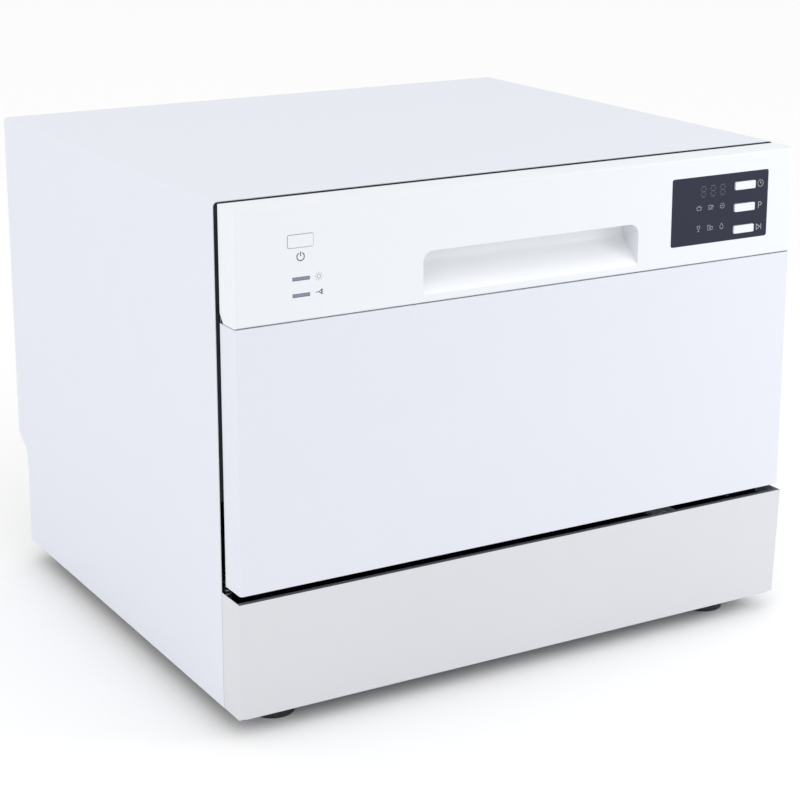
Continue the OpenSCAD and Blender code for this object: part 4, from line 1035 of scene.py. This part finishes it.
class DISHWASHER_OT_fascia_signs(PieceOperator, bpy.types.Operator):
    """Print the signs beside the power button and the light bars"""

    bl_idname = "dishwasher.fascia_signs"
    bl_label = "Fascia signs"

    def execute(self, context):
        signs = context.scene.dishwasher_signs
        paint = context.scene.dishwasher_paint
        front = FASCIA_LO.y - signs.ink
        depth = signs.ink + PRINT_SUNK
        button_lo, button_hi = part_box("power_button")
        lens_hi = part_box("indicator_lenses")[1]
        low, high = FASCIA_LO.z + 21.9 * MM, FASCIA_LO.z + 34.3 * MM
        bm = bmesh.new()
        draw_sign(bm, "power", (button_lo.x + button_hi.x) / 2, button_lo.z - 6.3 * MM, front,
                  depth,
                  signs.line)
        draw_sign(bm, "tap", lens_hi.x + 7.0 * MM, low, front, depth, signs.line)
        place_mesh("fascia_signs", bm, ink("fascia_ink", paint.print_grey), "door")
        bm = bmesh.new()
        draw_sign(bm, "rinse_aid", lens_hi.x + 6.4 * MM, high, front, depth, signs.line)
        place_mesh("rinse_aid_sign", bm, ink("light_ink", (0.36, 0.37, 0.41)), "door")
        return {"FINISHED"}


class DISHWASHER_OT_window_signs(PieceOperator, bpy.types.Operator):
    """Print the signs and the unlit digits of the display window"""

    bl_idname = "dishwasher.window_signs"
    bl_label = "Window signs"

    def execute(self, context):
        signs = context.scene.dishwasher_signs
        front = WINDOW_LO.y - signs.ink
        depth = signs.ink + PRINT_SUNK
        bm = bmesh.new()
        for node, sign in (("delay_button", "clock"), ("program_button", "programme"),
                           ("start_button", "start")):
            lo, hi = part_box(node)
            draw_sign(bm, sign, hi.x + 5.0 * MM, (lo.z + hi.z) / 2, front, depth, signs.line)
        place_mesh("button_signs", bm, ink("window_ink", (0.50, 0.51, 0.56)), "door")
        bm = bmesh.new()
        columns = [WINDOW_LO.x + (29.3 + 12.6 * i) * MM for i in range(3)]
        rows = {WINDOW_LO.z + 31.6 * MM: ("pot", "cup", "bowl"),
                WINDOW_LO.z + 13.4 * MM: ("glass", "glasses", "drop")}
        for z, names in rows.items():
            for x, sign in zip(columns, names):
                draw_sign(bm, sign, x, z, front, depth, signs.line)
        faint = ink("window_faint_ink", (0.34, 0.345, 0.40))
        place_mesh("programme_signs", bm, faint, "door")
        bm = bmesh.new()
        tall = signs.digit_height
        for i in range(3):
            x, z = WINDOW_LO.x + (33.5 + 10.4 * i) * MM, WINDOW_LO.z + 45.8 * MM
            self.digit(bm, x, z, tall, front, depth)
        unlit = ink("digit_ink", (0.046, 0.047, 0.070))
        place_mesh("display_digits", bm, unlit, "door")
        return {"FINISHED"}

    @staticmethod
    def digit(bm, x, z, tall, front, depth):
        """Seven unlit bars of one digit."""
        half = tall / 2
        wide = tall * 0.28
        thick = tall * 0.15
        gap = tall * 0.03
        for level in (-half, 0, half):
            stroke(bm, [(x - wide + gap, z + level), (x + wide - gap, z + level)], thick, front,
                   depth)
        for side in (-wide, wide):
            for low, high in ((-half, 0), (0, half)):
                stroke(bm, [(x + side, z + low + thick), (x + side, z + high - thick)], thick,
                       front, depth)


class DISHWASHER_OT_screws(PieceOperator, bpy.types.Operator):
    """Put real screw heads where the frame has plain ones"""

    bl_idname = "dishwasher.screws"
    bl_label = "Screws"

    def execute(self, context):
        screws = context.scene.dishwasher_screws
        tree = screw_tree()
        for node in ("cabinet_screws", "door_screws"):
            points, ways = [], []
            for lo, hi in islands(node):
                middle = (lo + hi) / 2
                under = hi.z - lo.z < hi.y - lo.y
                points.append((middle.x, middle.y, hi.z) if under else (middle.x, lo.y, middle.z))
                ways.append((0, 0, -1) if under else (0, 1, 0))
            piece = run_tree(node + "_heads", tree, points, ways, BODY_OF[node], SLOT_OF[node],
                             material_for("zinc_steel"), Radius=screws.radius, Height=screws.height,
                             Recess=screws.slot)
            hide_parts(node)
        return {"FINISHED"}


class DISHWASHER_OT_stage(PieceOperator, bpy.types.Operator):
    """Set the camera, the floor and the lights"""

    bl_idname = "dishwasher.stage"
    bl_label = "Stage"

    def execute(self, context):
        stage = context.scene.dishwasher_stage
        self.camera(context, stage)
        self.floor(context, stage)
        self.lights(context, stage)
        context.scene.view_settings.view_transform = "Standard"
        return {"FINISHED"}

    @staticmethod
    def camera(context, stage):
        data = bpy.data.cameras.new("camera")
        data.sensor_width = 36.0
        data.lens = stage.focal_pixels / PICTURE_SIDE * data.sensor_width
        data.shift_x = stage.shift_pixels[0] / PICTURE_SIDE
        data.shift_y = stage.shift_pixels[1] / PICTURE_SIDE
        data.clip_start = 0.05
        camera = bpy.data.objects.new("camera", data)
        target = Vector(stage.target)
        away = Vector((math.sin(stage.azimuth) * math.cos(stage.elevation),
                       -math.cos(stage.azimuth) * math.cos(stage.elevation),
                       math.sin(stage.elevation)))
        camera.location = target + away * stage.distance
        camera.rotation_euler = (-away).to_track_quat("-Z", "Y").to_euler()
        context.scene.collection.objects.link(camera)
        context.scene.camera = camera

    @staticmethod
    def floor(context, stage):
        mesh = bpy.data.meshes.new("floor")
        reach = 12.0
        corners = [(-reach, -reach, 0), (reach, -reach, 0), (reach, reach, 0), (-reach, reach, 0)]
        mesh.from_pydata(corners, [], [(0, 1, 2, 3)])
        floor = bpy.data.objects.new("floor", mesh)
        context.scene.collection.objects.link(floor)
        floor.data.materials.append(finish("floor_matte", color=stage.floor, rough=0.7, grain=40,
                                           relief=0.00001, wear=0.0, variation=0.004,
                                           specular=0.15))

    @staticmethod
    def lights(context, stage):
        world = bpy.data.worlds.new("studio")
        world.use_nodes = True
        world.node_tree.nodes["Background"].inputs["Color"].default_value = (1.0, 1.0, 1.0, 1.0)
        world.node_tree.nodes["Background"].inputs["Strength"].default_value = stage.world
        context.scene.world = world
        for name, place, aim, size, power in (
                ("key_light", (-1.6, -1.4, 2.6), (0, 0, 0.2), 2.2, stage.key),
                ("side_light", (-2.2, -0.3, 0.9), (-0.275, 0, 0.25), 1.5, stage.side),
                ("front_light", (0.80, -0.80, 0.62), (0.25, -0.25, 0.28), 0.4, stage.front)):
            data = bpy.data.lights.new(name, "AREA")
            data.size = size
            data.energy = power
            light = bpy.data.objects.new(name, data)
            light.location = place
            way = Vector(aim) - Vector(place)
            light.rotation_euler = way.to_track_quat("-Z", "Y").to_euler()
            context.scene.collection.objects.link(light)


class DISHWASHER_PT_pieces(bpy.types.Panel):
    """Lists the pieces of the dishwasher"""

    bl_label = "Countertop dishwasher"
    bl_idname = "DISHWASHER_PT_pieces"
    bl_space_type = "VIEW_3D"
    bl_region_type = "UI"
    bl_category = "Dishwasher"

    def draw(self, context):
        for operator in STEPS:
            self.layout.operator(operator.bl_idname)


SETTINGS = {
    "dishwasher_paint": PaintSettings,
    "dishwasher_edges": EdgeSettings,
    "dishwasher_signs": SignSettings,
    "dishwasher_screws": ScrewSettings,
    "dishwasher_pressings": PressingSettings,
    "dishwasher_fittings": FittingSettings,
    "dishwasher_stage": StageSettings,
}
STEPS = (
    DISHWASHER_OT_finishes,
    DISHWASHER_OT_soft_edges,
    DISHWASHER_OT_fascia_signs,
    DISHWASHER_OT_window_signs,
    DISHWASHER_OT_screws,
    DISHWASHER_OT_pressings,
    DISHWASHER_OT_wheels,
    DISHWASHER_OT_water_port,
    DISHWASHER_OT_basket_handle,
    DISHWASHER_OT_stage,
)


def register():
    for cls in (*SETTINGS.values(), *STEPS, DISHWASHER_PT_pieces):
        bpy.utils.register_class(cls)
    for name, cls in SETTINGS.items():
        setattr(bpy.types.Scene, name, bpy.props.PointerProperty(type=cls))


def unregister():
    for name in SETTINGS:
        delattr(bpy.types.Scene, name)
    for cls in (DISHWASHER_PT_pieces, *reversed(STEPS), *reversed(SETTINGS.values())):
        bpy.utils.unregister_class(cls)


def main():
    register()
    for operator in STEPS:
        group, name = operator.bl_idname.split(".")
        getattr(getattr(bpy.ops, group), name)()


if __name__ == "__main__":
    main()
